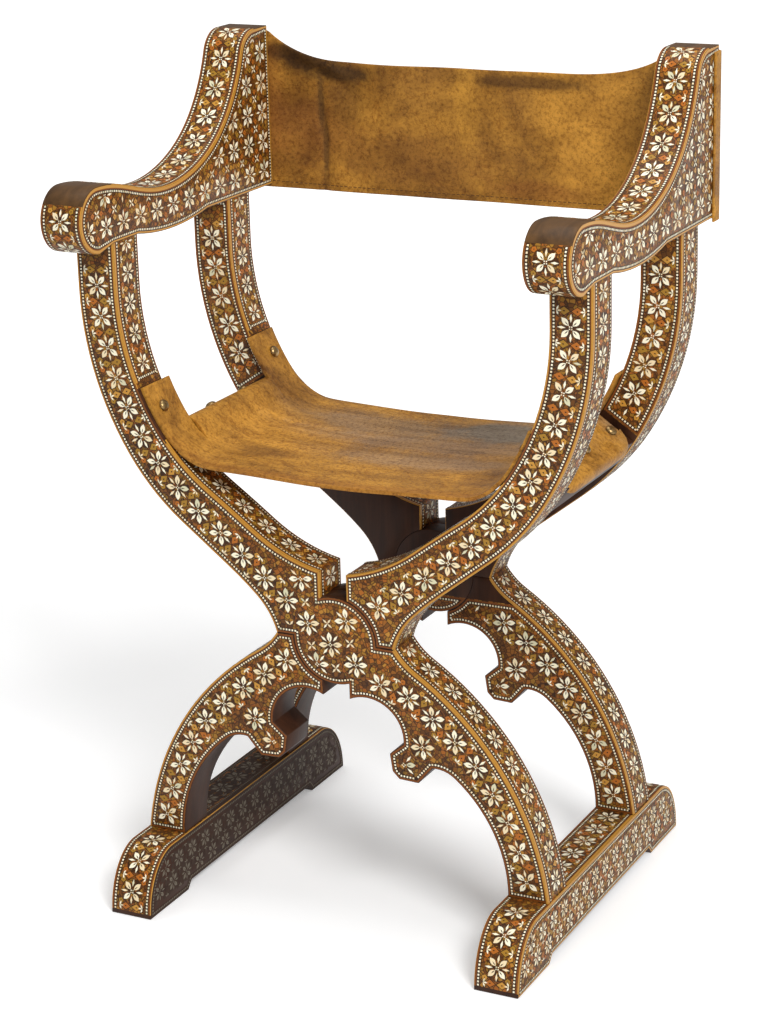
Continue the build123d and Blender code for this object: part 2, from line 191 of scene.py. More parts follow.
class Finish:
    """A material, with short ways to add its nodes."""

    def __init__(self, name, roughness=0.5, coat=0.0):
        self.made = bpy.data.materials.new(name)
        self.made.use_nodes = True
        self.nodes, self.links = self.made.node_tree.nodes, self.made.node_tree.links
        self.shader = self.nodes["Principled BSDF"]
        self.shade("Roughness", roughness)
        self.shade("Coat Weight", coat)
        self.shade("Specular IOR Level", 0.2)
        self.shade("Coat Roughness", 0.25)

    def feed(self, socket, value):
        """Gives a socket another socket's value, a colour or a number."""
        if isinstance(value, bpy.types.NodeSocket):
            self.links.new(value, socket)
        else:
            socket.default_value = (*value, 1) if isinstance(value, tuple) else value

    def shade(self, name, value):
        """Sets one input of the shader."""
        self.feed(self.shader.inputs[name], value)

    def place(self):
        """Object coordinates."""
        found = [n for n in self.nodes if n.type == "TEX_COORD"]
        return (found[0] if found else self.nodes.new("ShaderNodeTexCoord")).outputs["Object"]

    def mapped(self, scale, location=(0, 0, 0)):
        """Object coordinates, scaled and then moved."""
        node = self.nodes.new("ShaderNodeMapping")
        node.inputs["Scale"].default_value = scale
        node.inputs["Location"].default_value = location
        self.links.new(self.place(), node.inputs["Vector"])
        return node.outputs["Vector"]

    def texture(self, kind, scale, place=None, **values):
        """A texture node on Object coordinates or on what place gives."""
        node = self.nodes.new(kind)
        for key, value in values.items():
            if key in node.inputs:
                node.inputs[key].default_value = value
            else:
                setattr(node, key, value)
        node.inputs["Scale"].default_value = scale
        self.links.new(self.place() if place is None else place, node.inputs["Vector"])
        return node

    def noise(self, scale, place=None, **values):
        """The strength of a cloudy noise."""
        return self.texture("ShaderNodeTexNoise", scale, place, **values).outputs["Fac"]

    def ramp(self, value, stops, interpolation="LINEAR"):
        """The colour of a value on a ramp of (position, colour)."""
        node = self.nodes.new("ShaderNodeValToRGB")
        node.color_ramp.interpolation = interpolation
        elements = node.color_ramp.elements
        while len(elements) > 1:
            elements.remove(elements[-1])
        elements[0].position, elements[0].color = stops[0][0], (*stops[0][1], 1)
        for at, tone in stops[1:]:
            elements.new(at).color = (*tone, 1)
        self.links.new(value, node.inputs["Fac"])
        return node.outputs["Color"]

    def mix(self, a, b, factor, blend="MIX"):
        """A colour mix of two sockets or colours by a socket or a number."""
        node = self.nodes.new("ShaderNodeMix")
        node.data_type, node.blend_type = "RGBA", blend
        # a Mix node keeps its colour sockets at these places
        for at, value in ((6, a), (7, b), (0, factor)):
            self.feed(node.inputs[at], value)
        return node.outputs[2]

    def work_out(self, operation, *values):
        """The result of a Math node."""
        node = self.nodes.new("ShaderNodeMath")
        node.operation = operation
        for socket, value in zip(node.inputs, values):
            self.feed(socket, value)
        return node.outputs["Value"]

    def distance(self, place):
        """How far a place is from the origin."""
        node = self.nodes.new("ShaderNodeVectorMath")
        node.operation = "LENGTH"
        self.links.new(place, node.inputs[0])
        return node.outputs["Value"]

    def bump(self, height, strength, distance):
        """Raises the surface by a height."""
        node = self.nodes.new("ShaderNodeBump")
        node.inputs["Strength"].default_value = strength
        node.inputs["Distance"].default_value = distance
        self.links.new(height, node.inputs["Height"])
        self.shade("Normal", node.outputs["Normal"])


def plain_material(name, tone, roughness=0.4, coat=0.03):
    """One tile's material, the same all over."""
    finish = Finish(name, roughness, coat)
    finish.shade("Base Color", tone)
    finish.made.diffuse_color = (*tone, 1)


def ground_material(name, colours, scale, deep):
    """Marquetry ground: small patches of walnut, olive and orange wood, with dark lines between.

    deep is the share of the dark disc's colour in the walnut."""
    finish = Finish(name, 0.46, 0.04)
    walnut, disc, dark, orange, olive, gold = (
        tuple(getattr(colours, key)) for key in ("brown", "disc", "line", "orange", "olive", "gold"))
    brown = mixed(walnut, disc, deep)
    cells = finish.texture("ShaderNodeTexVoronoi", scale, Randomness=0.9)
    edges = finish.texture("ShaderNodeTexVoronoi", scale, feature="DISTANCE_TO_EDGE", Randomness=0.9)
    split = finish.nodes.new("ShaderNodeSeparateColor")
    finish.links.new(cells.outputs["Color"], split.inputs["Color"])
    patches = finish.ramp(split.outputs["Red"], [
        (0.0, brown), (0.26, mixed(dark, brown, 0.35)), (0.42, mixed(brown, orange, 0.6)),
        (0.58, mixed(brown, olive, 0.7)), (0.76, scaled(brown, 0.62)),
        (0.9, mixed(brown, gold, 0.7))], "CONSTANT")
    seam = finish.ramp(edges.outputs["Distance"], [(0.0, WHITE), (0.14, BLACK)])
    toned = finish.mix(patches, dark, seam)
    worn = finish.ramp(finish.noise(9, Detail=5.0), [(0.3, (0.66, 0.64, 0.6)), (0.7, (1.12, 1.1, 1.04))])
    finish.shade("Base Color", finish.mix(toned, worn, 1.0, "MULTIPLY"))
    finish.bump(finish.noise(420, Detail=3.0), 0.12, 0.0004)


def walnut_material(name, tone, grain_scale):
    """Plain walnut with grain drawn out along one direction."""
    finish = Finish(name, coat=0.03)
    grain = finish.noise(1.0, finish.mapped(grain_scale), Detail=7.0, Roughness=0.62, Distortion=0.4)
    tones = finish.ramp(grain, [(0.3, scaled(tone, 0.48)), (0.5, tone), (0.72, scaled(tone, 1.5))])
    cloud = finish.noise(7, Detail=3.0)
    shade = finish.ramp(cloud, [(0.3, (0.66, 0.63, 0.62)), (0.7, WHITE)])
    finish.shade("Base Color", finish.mix(tones, shade, 1.0, "MULTIPLY"))
    finish.shade("Roughness", finish.ramp(cloud, [(0.2, (0.36,) * 3), (0.8, (0.62,) * 3)]))
    finish.bump(grain, 0.25, 0.0006)


def soft_patch(finish, at, reach):
    """A ragged soft patch round a place, both in millimetres: 1 in its middle and 0 outside."""
    far = finish.distance(finish.mapped([1 / (r * MM) for r in reach], [-a / r for a, r in zip(at, reach)]))
    ragged = finish.work_out("MULTIPLY_ADD", finish.noise(46, Detail=8.0, Roughness=0.75), 1.3, far)
    halved = finish.work_out("MULTIPLY", ragged, 0.5)
    return finish.ramp(halved, [(0.62, WHITE), (0.8, (0.35,) * 3), (1.0, BLACK)])


def leather_material(name, light, dark, dark_share, drawn, patches_and_shadows):
    """Old saddle leather: clouded tone, crease lines, patches of colour (on the back some of them painted
    fold shadow), streaks that are partly wear and partly a painted sheen, and a fine grain.
    """
    finish = Finish(name)
    cloud = finish.noise(8.5, Detail=9.0, Roughness=0.66, Distortion=0.5)
    tones = finish.ramp(cloud, [(dark_share - 0.14, dark), (dark_share, mixed(dark, light, 0.55)),
                                (dark_share + 0.12, light), (0.78, scaled(light, 1.25))])
    wander = finish.noise(13, Detail=7.0, Roughness=0.6, Distortion=1.6)
    lines = finish.ramp(wander, [(0.482, WHITE), (0.5, (0.62, 0.5, 0.36)), (0.518, WHITE)])
    toned = finish.mix(tones, lines, 0.7, "MULTIPLY")
    for at, reach, tone, strength in patches_and_shadows:
        share = finish.work_out("MULTIPLY", soft_patch(finish, at, reach), strength)
        toned = finish.mix(toned, srgb(*tone), share)
    # streaks drawn out along one way, lighter and darker: partly wear, partly a painted sheen
    streak = finish.noise(1.0, finish.mapped(drawn), Detail=6.0, Roughness=0.6)
    rubbed = finish.ramp(streak, [(0.34, (0.66, 0.6, 0.5)), (0.6, (1.08, 1.06, 1.0))])
    toned = finish.mix(toned, rubbed, 0.85, "MULTIPLY")
    specks = finish.noise(240, Detail=4.0, Roughness=0.75)
    pitted = finish.ramp(specks, [(0.36, (0.5, 0.42, 0.34)), (0.52, WHITE), (0.7, (1.16, 1.14, 1.08))])
    finish.shade("Base Color", finish.mix(toned, pitted, 0.8, "MULTIPLY"))
    finish.shade("Roughness", finish.ramp(cloud, [(0.3, (0.4,) * 3), (0.75, (0.64,) * 3)]))
    pores = finish.texture("ShaderNodeTexVoronoi", 520, feature="DISTANCE_TO_EDGE")
    finish.bump(finish.work_out("ADD", pores.outputs["Distance"], finish.noise(60, Detail=5.0)), 0.45, 0.0008)


def brass_material(tone):
    """Antique brass, darker where it isn't rubbed."""
    finish = Finish("antique_brass", 0.35)
    finish.shade("Metallic", 0.9)
    spots = finish.noise(190, Detail=4.0)
    tones = finish.ramp(spots, [(0.32, scaled(tone, 0.4)), (0.55, tone), (0.75, scaled(tone, 1.6))])
    finish.shade("Base Color", tones)
    finish.bump(spots, 0.2, 0.0004)


def make_materials():
    """Makes all finishes of the chair."""
    c = bpy.context.scene.chair_colours
    bone, line, plain = tuple(c.bone), tuple(c.line), tuple(c.red_brown)
    plain_material("inlay_line", line, 0.55)
    ground_material("inlay_brown", c, 330, 0.8)
    plain_material("inlay_bone", bone, 0.38)
    plain_material("inlay_bone_warm", mixed(bone, srgb(226, 192, 130), 0.5), 0.4)
    plain_material("inlay_bone_grey", mixed(bone, srgb(186, 182, 140), 0.6), 0.42)
    plain_material("inlay_orange", tuple(c.orange), 0.42)
    plain_material("inlay_olive", tuple(c.olive), 0.42)
    plain_material("inlay_gold", tuple(c.gold), 0.36, 0.1)
    plain_material("inlay_red", tuple(c.margin), 0.55)
    # darkened bone: painted shade
    plain_material("inlay_painted_shade", mixed(bone, line, 0.86), 0.6)
    ground_material("marquetry_ground", c, 215, 0.0)
    walnut_material("walnut_upright", plain, (60, 60, 5))
    walnut_material("walnut_across", plain, (60, 5, 60))
    walnut_material("walnut_worn", mixed(plain, srgb(98, 70, 36), 0.7), (70, 7, 70))
    light, dark = tuple(c.leather), tuple(c.leather_dark)
    leather_material("leather_seat", light, dark, 0.4, (7, 60, 60), SEAT_SMUDGES)
    leather_material("leather_back", scaled(light, 0.94), dark, 0.43, (22, 22, 30), BACK_TONES_AND_SHADOWS)
    plain_material("thread", mixed(dark, (0.02, 0.01, 0.005), 0.5), 0.7, 0.0)
    brass_material(tuple(c.brass))


def material(name):
    return bpy.data.materials[name]


# ---------------------------------------------------------------- mesh helpers


def pick(piece):
    """Makes this the only selected object, and the active one."""
    if bpy.context.object and bpy.context.object.mode != "OBJECT":
        bpy.ops.object.mode_set(mode="OBJECT")
    bpy.ops.object.select_all(action="DESELECT")
    piece.select_set(True)
    bpy.context.view_layer.objects.active = piece


def link_mesh(name, mesh):
    piece = bpy.data.objects.new(name, mesh)
    bpy.context.collection.objects.link(piece)
    return piece


def copy_of(node, name):
    """A welded copy of a CAD node, its flat faces joined up again."""
    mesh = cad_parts[node].data.copy()
    mesh.name = name
    mesh.materials.clear()
    piece = link_mesh(name, mesh)
    pick(piece)
    bpy.ops.object.mode_set(mode="EDIT")
    bpy.ops.mesh.select_all(action="SELECT")
    bpy.ops.mesh.remove_doubles(threshold=0.01 * MM)
    bpy.ops.mesh.dissolve_limited(angle_limit=math.radians(0.3))
    bpy.ops.object.mode_set(mode="OBJECT")
    return piece


def replace_node(piece, node, body):
    """Lets a finished piece ride on a body in the place of its CAD node."""
    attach(piece, body)
    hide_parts(node)


def apply_modifiers(piece):
    pick(piece)
    for modifier in list(piece.modifiers):
        bpy.ops.object.modifier_apply(modifier=modifier.name)


def soften(piece, width, angle=32):
    """Rounds the sharp edges a little, and shades the rest smooth."""
    edge = piece.modifiers.new("worn_edges", "BEVEL")
    edge.width, edge.segments = width, 2
    edge.limit_method, edge.angle_limit = "ANGLE", math.radians(angle)
    edge.use_clamp_overlap = False
    apply_modifiers(piece)
    bpy.ops.object.shade_smooth_by_angle(angle=math.radians(angle))


def cap_outlines(piece, axis, level):
    """Outlines of the flat faces at one level of an axis, as closed loops of 2-D points, anticlockwise."""
    mesh, others = piece.data, [i for i in range(3) if i != axis]
    uses = {}
    for face in mesh.polygons:
        if abs(abs(face.normal[axis]) - 1) < 1e-3 and abs(face.center[axis] - level) < 0.02 * MM:
            for key in face.edge_keys:
                uses[key] = uses.get(key, 0) + 1
    links = {}
    for (a, b), count in uses.items():
        if count == 1:
            links.setdefault(a, []).append(b)
            links.setdefault(b, []).append(a)
    loops = []
    while links:
        start = next(iter(links))
        loop, here = [start], start
        while links.get(here):
            there = links[here].pop()
            links[there].remove(here)
            if there == start:
                break
            loop.append(there)
            here = there
        links = {k: v for k, v in links.items() if v}
        points = np.array([[mesh.vertices[i].co[others[0]], mesh.vertices[i].co[others[1]]] for i in loop])
        if len(points) > 2:
            loops.append(points if area(points) > 0 else points[::-1])
    return sorted(loops, key=lambda p: -abs(area(p)))


def area(points):
    x, y = points[:, 0], points[:, 1]
    return 0.5 * float(np.sum(x * np.roll(y, -1) - y * np.roll(x, -1)))


def distance_in(points, outline):
    """Distance of each point to the outline, negative outside it."""
    a, b = outline, np.roll(outline, -1, 0)
    run = b - a
    size = np.maximum((run ** 2).sum(1), 1e-18)
    rel = points[:, None, :] - a[None]
    t = np.clip((rel * run[None]).sum(2) / size[None], 0, 1)
    near = np.sqrt(((rel - t[..., None] * run[None]) ** 2).sum(2)).min(1)
    py, ay, by = points[:, 1][:, None], a[:, 1][None], b[:, 1][None]
    crosses = (ay > py) != (by > py)
    x_at = a[:, 0][None] + (py - ay) / np.where(by == ay, 1e-18, by - ay) * run[:, 0][None]
    inside = (crosses & (points[:, 0][:, None] < x_at)).sum(1) % 2 == 1
    return np.where(inside, near, -near)


def stretch(outline, *marks):
    """The part of an anticlockwise outline from the first mark to the last, both in millimetres."""
    first, last = [int(np.argmin(((outline - np.array(m) * MM) ** 2).sum(1))) for m in marks]
    n = len(outline)
    count = (last - first) % n
    return outline[[(first + i) % n for i in range(count + 1)]]


def lengths(path):
    return np.concatenate([[0], np.cumsum(np.sqrt((np.diff(path, axis=0) ** 2).sum(1)))])


def along(path, s):
    """Points and directions at distances s along a path."""
    at = lengths(path)
    s = np.atleast_1d(np.asarray(s, float))
    i = np.clip(np.searchsorted(at, s, side="right") - 1, 0, len(path) - 2)
    run = path[i + 1] - path[i]
    size = np.sqrt((run ** 2).sum(1))[:, None]
    return path[i] + run / size * (s - at[i])[:, None], run / size


def place_on(path, mark):
    """Distance along a path of its nearest point to a mark in millimetres."""
    mark, at = np.array(mark) * MM, lengths(path)
    run = np.diff(path, axis=0)
    t = np.clip(((mark - path[:-1]) * run).sum(1) / (run ** 2).sum(1), 0, 1)
    i = int(np.argmin(((path[:-1] + run * t[:, None] - mark) ** 2).sum(1)))
    return at[i] + t[i] * (at[i + 1] - at[i])


def part_of(path, start, end):
    """The part of a path between two distances along it."""
    at = lengths(path)
    ends, _ = along(path, [start, end * 0.999999])
    return np.vstack([ends[:1], path[(at > start + 1e-6) & (at < end - 1e-6)], ends[1:]])


def without(path, *marks):
    """The two parts of a path that are left outside two marks."""
    first, last = sorted(place_on(path, m) for m in marks)
    return [part_of(path, 0, first), part_of(path, last, lengths(path)[-1])]


def beyond(outline, at, facing):
    """The part of an outline on the side of a line that facing points to."""
    kept = []
    side = (outline - at) @ facing
    for i, here in enumerate(outline):
        j = (i + 1) % len(outline)
        if side[i] >= 0:
            kept.append(here)
        if side[i] * side[j] < 0:
            kept.append(here + (outline[j] - here) * side[i] / (side[i] - side[j]))
    return np.array(kept) if len(kept) > 2 else None


def smooth_path(marks, step=2.0):
    """A smooth path through marks in millimetres, as closely spaced points in metres."""
    p = np.array(marks, float)
    p = np.vstack([2 * p[0] - p[1], p, 2 * p[-1] - p[-2]])
    out = []
    for i in range(1, len(p) - 2):
        count = max(2, int(np.hypot(*(p[i + 1] - p[i])) / step))
        for t in np.arange(count) / count:
            a, b, c, d = p[i - 1], p[i], p[i + 1], p[i + 2]
            out.append(0.5 * (2 * b + (c - a) * t + (2 * a - 5 * b + 4 * c - d) * t ** 2
                              + (3 * b - a - 3 * c + d) * t ** 3))
    out.append(p[-2])
    return np.array(out) * MM


# ---------------------------------------------------------------- inlay motifs

# what a tile's wood or bone may be, and how often
BONES = ((BONE, BONE_WARM, BONE_GREY), (7, 3, 1))
WOODS = ((ORANGE, OLIVE, GOLD), (4, 4, 3))
LEAF_SHOULDER = (1.13, 0.62)  # how much wider and lower the shoulders of a leaf are drawn


def add_inlay_materials(mesh):
    for name in INLAY_MATERIALS:
        mesh.materials.append(material(name))


class Motif:
    """Flat tiles modelled once and read back, to be laid many times."""

    def __init__(self, name):
        self.mesh = bpy.data.meshes.new(name)
        add_inlay_materials(self.mesh)
        self.piece = link_mesh(name, self.mesh)
        pick(self.piece)
        bpy.ops.object.mode_set(mode="EDIT")

    def tile(self, kind, sides, level, at=(0, 0), size=(1, 1), turn=0.0, leaf=False):
        """A pointed tile in millimetres, its point up before it is turned; a leaf has drawn-in shoulders."""
        bpy.ops.mesh.select_all(action="DESELECT")
        bpy.ops.mesh.primitive_circle_add(vertices=sides, radius=MM, fill_type="NGON",
                                          location=(0, 0, level * STEP))
        if leaf:
            edit = bmesh.from_edit_mesh(self.mesh)
            for vert in edit.verts:
                if vert.select and 0.3 * MM < abs(vert.co.y) < 0.9 * MM:
                    vert.co.x *= LEAF_SHOULDER[0]
                    vert.co.y *= LEAF_SHOULDER[1]
            bmesh.update_edit_mesh(self.mesh)
        bpy.ops.transform.resize(value=(*size, 1), center_override=(0, 0, 0))
        # with no window this operator turns the other way
        bpy.ops.transform.rotate(value=-turn, orient_axis="Z", center_override=(0, 0, 0))
        bpy.ops.transform.translate(value=(at[0] * MM, at[1] * MM, 0))
        self.piece.active_material_index = kind
        bpy.ops.object.material_slot_assign()

    def spoke(self, kind, sides, level, reach, size, turn, leaf=False):
        """A tile that points away from the middle, its own middle at reach."""
        self.tile(kind, sides, level, (-reach * math.sin(turn), reach * math.cos(turn)), size, turn, leaf)

    def patch(self, at, size, turn=0.0, sides=4):
        """A coloured patch with a dark outline and a dark dot."""
        for kind, grow, level in ((LINE, 1.0, 3), (ORANGE, 0.84, 4), (LINE, 0.18, 5)):
            self.tile(kind, sides, level, at, (size[0] * grow, size[1] * grow), turn)

    def read(self):
        """The tiles as (points, material, level), and the model is put away."""
        bpy.ops.object.mode_set(mode="OBJECT")
        mesh, tiles = self.mesh, []
        for face in mesh.polygons:
            points = np.array([mesh.vertices[i].co[:] for i in face.vertices])
            flat = points[:, :2]
            tiles.append((flat if area(flat) > 0 else flat[::-1], face.material_index,
                          int(round(points[0, 2] / STEP))))
        bpy.data.objects.remove(self.piece)
        return tiles


def flower_motif():
    """A ringed flower: four slit leaves on the diagonals and four needles between."""
    made = Motif("flower")
    made.tile(RED, 20, 1, size=(15.9, 15.9))
    made.tile(BROWN, 20, 2, size=(15.2, 15.2))
    for i in range(4):
        turn = math.pi / 2 * i
        lean = turn + math.pi / 4
        made.spoke(BONE, 8, 3, 8.7, (3.05, 5.7), lean, leaf=True)
        made.spoke(LINE, 4, 4, 6.5, (0.6, 3.0), lean)
        made.spoke(BONE, 4, 3, 10.1, (1.4, 4.7), turn)
    for x in (-1, 1):
        for y in (-1, 1):
            made.tile(BONE, 4, 4, at=(1.2 * x, 1.2 * y), size=(0.95, 0.95), turn=math.pi / 4)
    return made.read()


def cross_motif():
    """What fills the space between two flowers: two kites, each with a half star beyond it."""
    made = Motif("cross")
    for side in (-1, 1):
        made.patch((0, 7.2 * side), (5.0, 7.4))
        inward = math.pi if side > 0 else 0.0
        for turn in (inward - 1.15, inward, inward + 1.15):
            made.tile(BONE, 4, 5, at=(-2.8 * math.sin(turn), 15.4 * side + 2.8 * math.cos(turn)),
                      size=(1.05, 2.9), turn=turn)
    return made.read()


def corner_motif():
    """Patches outside a flower's ring."""
    made = Motif("corner")
    for x in (-1, 1):
        for y in (-1, 1):
            made.patch((12.4 * x, 13.8 * y), (4.1, 4.1), math.atan2(-12.4 * x, 13.8 * y), 5)
    return made.read()


def spark_motif():
    """Four bone needles."""
    made = Motif("spark")
    for i in range(4):
        made.spoke(BONE, 4, 5, 3.6, (1.2, 3.6), math.pi / 2 * i)
    return made.read()


def star_motif():
    """A small star for the middle of four flowers, its points towards them, with a patch in each gap."""
    made = Motif("star")
    for i in range(4):
        turn = math.pi / 2 * i
        made.patch((-9.0 * math.sin(turn), 9.0 * math.cos(turn)), (4.4, 4.8), turn)
        made.spoke(BONE, 4, 5, 3.4, (1.15, 3.3), turn + math.pi / 4)
    return made.read()


class Layout:
    """Tiles laid out flat on one face, before they are pressed onto the wood."""

    def __init__(self, seed):
        self.tiles = []
        self.chance = random.Random(seed)

    def lay(self, motif, u, v, turn, grow=1.0):
        """Adds a motif's tiles, with a chance tone for each of bone or coloured wood."""
        c, s = math.cos(turn) * grow, math.sin(turn) * grow
        spin = np.array([[c, s], [-s, c]])
        for points, kind, level in motif:
            if kind in (BONE, ORANGE):
                kind = self.chance.choices(*(BONES if kind == BONE else WOODS))[0]
            self.tiles.append((points @ spin + (u, v), kind, level))

    def row(self, path, pitch, start, motifs, grow=1.0):
        """Flowers along a path, with what stands between them; returns the flowers' places."""
        flower, cross, corner = motifs
        total = lengths(path)[-1]
        count = int((total - start) / pitch + 0.5)
        places = []
        for i in range(2 * count + 1):
            s = start + pitch * i / 2
            if s > total:
                break
            (point,), (way,) = along(path, [s])
            turn = math.atan2(way[1], way[0])
            if i % 2:
                self.lay(cross, point[0], point[1], turn, grow)
            else:
                self.lay(corner, point[0], point[1], turn, grow)
                self.lay(flower, point[0], point[1], turn, grow)
                places.append(point)
        return places

    def band(self, path, closed, near, far, level, kind):
        """A strip inside an anticlockwise path, between two distances from it.

        Each distance is one number, or one for each point of the path."""
        inner, outer = offset(path, closed, far), offset(path, closed, near)
        n = len(path)
        for i in range(n if closed else n - 1):
            j = (i + 1) % n
            self.tiles.append((np.array([outer[i], outer[j], inner[j], inner[i]]), kind, level))

    def dots(self, path, closed, inset, pitch, side, level=3):
        """Square dots along the inside of a path."""
        line = offset(path, closed, inset)
        if closed:
            line = np.vstack([line, line[:1]])
        total = lengths(line)[-1]
        count = max(1, int(round(total / pitch)))
        points, ways = along(line, (np.arange(count) + 0.5) * total / count)
        for point, way in zip(points, ways):
            a, b = way * side / 2, np.array([-way[1], way[0]]) * side / 2
            corners = np.array([point - a - b, point + a - b, point + a + b, point - a + b])
            self.tiles.append((corners, self.chance.choices(*BONES)[0], level))

    def paint_shade(self):
        """Turns the tiles to darkened bone and dark wood: painted shade, as on a face in shadow."""
        tones = dict.fromkeys((BONE, BONE_WARM, BONE_GREY), SHADED_BONE)
        tones.update(dict.fromkeys((ORANGE, OLIVE, GOLD, RED, BROWN), LINE))
        self.tiles = [(points, tones.get(kind, kind), level) for points, kind, level in self.tiles]

    def trim(self, outline, low_level, high_level, margin):
        """Drops the tiles of some levels that come nearer to the outline than the margin."""
        chosen = [i for i, t in enumerate(self.tiles) if low_level <= t[2] <= high_level]
        if not chosen:
            return
        points = np.vstack([self.tiles[i][0] for i in chosen])
        depth = distance_in(points, outline)
        dropped, at = set(), 0
        for i in chosen:
            n = len(self.tiles[i][0])
            if depth[at:at + n].min() < margin:
                dropped.add(i)
            at += n
        self.tiles = [t for i, t in enumerate(self.tiles) if i not in dropped]


def offset(path, closed, distance):
    """The path moved to its left by a distance, mitred at its corners."""
    run = np.roll(path, -1, 0) - path
    size = np.maximum(np.sqrt((run ** 2).sum(1)), 1e-12)[:, None]
    left = np.stack([-run[:, 1], run[:, 0]], 1) / size
    before = np.roll(left, 1, 0)
    if not closed:
        left[-1] = before[-1]
        before[0] = left[0]
    miter = left + before
    share = 1 + (left * before).sum(1)
    miter = miter / np.maximum(share, 0.25)[:, None]
    return path + miter * np.reshape(distance, (-1, 1))


class Press:
    """Gathers the laid tiles of one piece of wood in one mesh."""

    def __init__(self, name):
        self.name = name
        self.verts, self.faces, self.kinds = [], [], []

    def add(self, points, kind, flip):
        first = len(self.verts)
        self.verts.extend(points)
        order = list(range(first, first + len(points)))
        self.faces.append(order[::-1] if flip else order)
        self.kinds.append(kind)

    def flat(self, layout, axis, level, out):
        """Presses a layout onto a flat face at one level of an axis; out is +1 or -1."""
        for points, kind, height in layout.tiles:
            at = level + out * height * STEP
            if axis == 1:
                self.add([(u, at, v) for u, v in points], kind, out > 0)
            else:
                self.add([(at, u, v) for u, v in points], kind, out < 0)

    def round(self, layout, path, axis, start):
        """Wraps a layout round an edge path: u runs along the path, and v across the wood from start."""
        bm = bmesh.new()
        for points, kind, height in layout.tiles:
            face = bm.faces.new([bm.verts.new((u, v, height * STEP)) for u, v in points])
            face.material_index = kind
        joints = lengths(path)
        for s in joints[1:-1]:
            bmesh.ops.bisect_plane(bm, geom=bm.verts[:] + bm.edges[:] + bm.faces[:], dist=1e-7,
                                   plane_co=(s, 0, 0), plane_no=(1, 0, 0))
        run = np.diff(path, axis=0)
        size = np.sqrt((run ** 2).sum(1))[:, None]
        out = np.stack([run[:, 1], -run[:, 0]], 1) / size
        for face in bm.faces:
            middle = sum(v.co.x for v in face.verts) / len(face.verts)
            i = int(np.clip(np.searchsorted(joints, middle) - 1, 0, len(run) - 1))
            way, normal = run[i] / size[i], out[i]
            points = []
            for v in face.verts:
                p = path[i] + way * (v.co.x - joints[i]) + normal * v.co.z
                points.append((p[0], start + v.co.y, p[1]) if axis == 1 else (start + v.co.y, p[0], p[1]))
            self.add(points, face.material_index, axis == 1)
        bm.free()

    def finish(self, body):
        """Makes the mesh and lets it ride on its body."""
        mesh = bpy.data.meshes.new(self.name)
        mesh.from_pydata(self.verts, [], self.faces)
        add_inlay_materials(mesh)
        mesh.polygons.foreach_set("material_index", self.kinds)
        mesh.update()
        piece = link_mesh(self.name, mesh)
        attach(piece, body)
        return piece


# ---------------------------------------------------------------- the wood

# on the face of a leg, as (x, z) in millimetres: the middles of its two rows of flowers, then where single
# flowers and sparks stand, and their turn
UPPER_ROW = [(54, 380), (84, 401), (112, 421), (139, 442), (167, 465), (196, 494), (221, 524), (243, 562),
             (259, 603), (270, 648), (276, 692), (277, 738)]
LOWER_ROW = [(54, 291), (88, 281), (116, 262), (141, 240), (164, 217), (184, 187), (203, 155), (216, 122),
             (224, 90), (226, 74)]
LOWER_START = [(61, 303), (89, 282)]  # where the lower row begins on a leg that stops at the knuckle
HUB_ROW = [(-57, 373), (-82, 394), (-111, 418)]  # where the upper row begins on a leg with the knuckle's disc
HUB_FLOWERS = [(-32, 350), (-5, 329), (25, 310), (-39, 400), (15, 359), (-22, 304)]
HUB_SPARKS = [(-8, 353), (-28, 325), (19, 334), (1, 303), (-34, 374), (-54, 345)]
HUB_TURN = -0.66
LOWER_FLOWERS = [(103, 227), (80, 203), (38, 268)]
RAIL_CLEAR = 23 * MM  # from the middle of a seat rail up to where the inlay of an inner face starts
HUB_LOW = 306 * MM  # below this an inner face is inlaid again
TAB_LOW, TAB_HIGH = (201, 538), (235, 598)  # where the leather lies on the leg's inner side
WIDE_INSET = 7.4 * MM  # of the dots beside a golden band
SHUT_INSET = 3.4 * MM  # of the dots across the end of a strip
OPEN_END = -9 * MM  # the flowers' field reaches this far past the end of a strip that stays open
SMALLEST_FIELD = 900 * MM * MM
EDGE_GAP = 1.0 * MM  # between an edge of the wood and its border
LINE_OUT, LINE_IN = 1.9 * MM, 1.7 * MM  # sides of the dark line, from the middle of its dots
GOLD_LEAST, GOLD_SHARE = 2.3 * MM, 0.55  # how far in gold reaches, or its share of the dots' inset, if more
TAB_NEAR = 6  # a strip that ends this near to a tab, in millimetres, is shut there
MARK_NEAR = 14 * MM  # an outline that stays further than this from a mark doesn't have that edge
SHORTEST_STRIP = 12 * MM
EDGE_FOUND = 1.2 * MM  # a side face this near to an inlaid edge belongs to it
FACE_ON, FACE_TILTED = 0.97, 0.15  # least share of the axis in a flat face's normal, and in a worn corner's
ARM_GROW = 0.94
ARM_FIRST = (0.184, 0.771)  # the first flower on the face of an arm, as (y, z) in metres
SCROLL_WORN = ((-148, 811), (-206, 801))  # where hands have rubbed the scroll bare
RUNNER_TOP = 70  # height of a runner in millimetres
RUNNER_PITCH, RUNNER_GROW = 29.5 * MM, 0.74
RUNNER_ROWS = ((9, 25), (24, 48))  # where the first flower of each row stands, and the height of the row


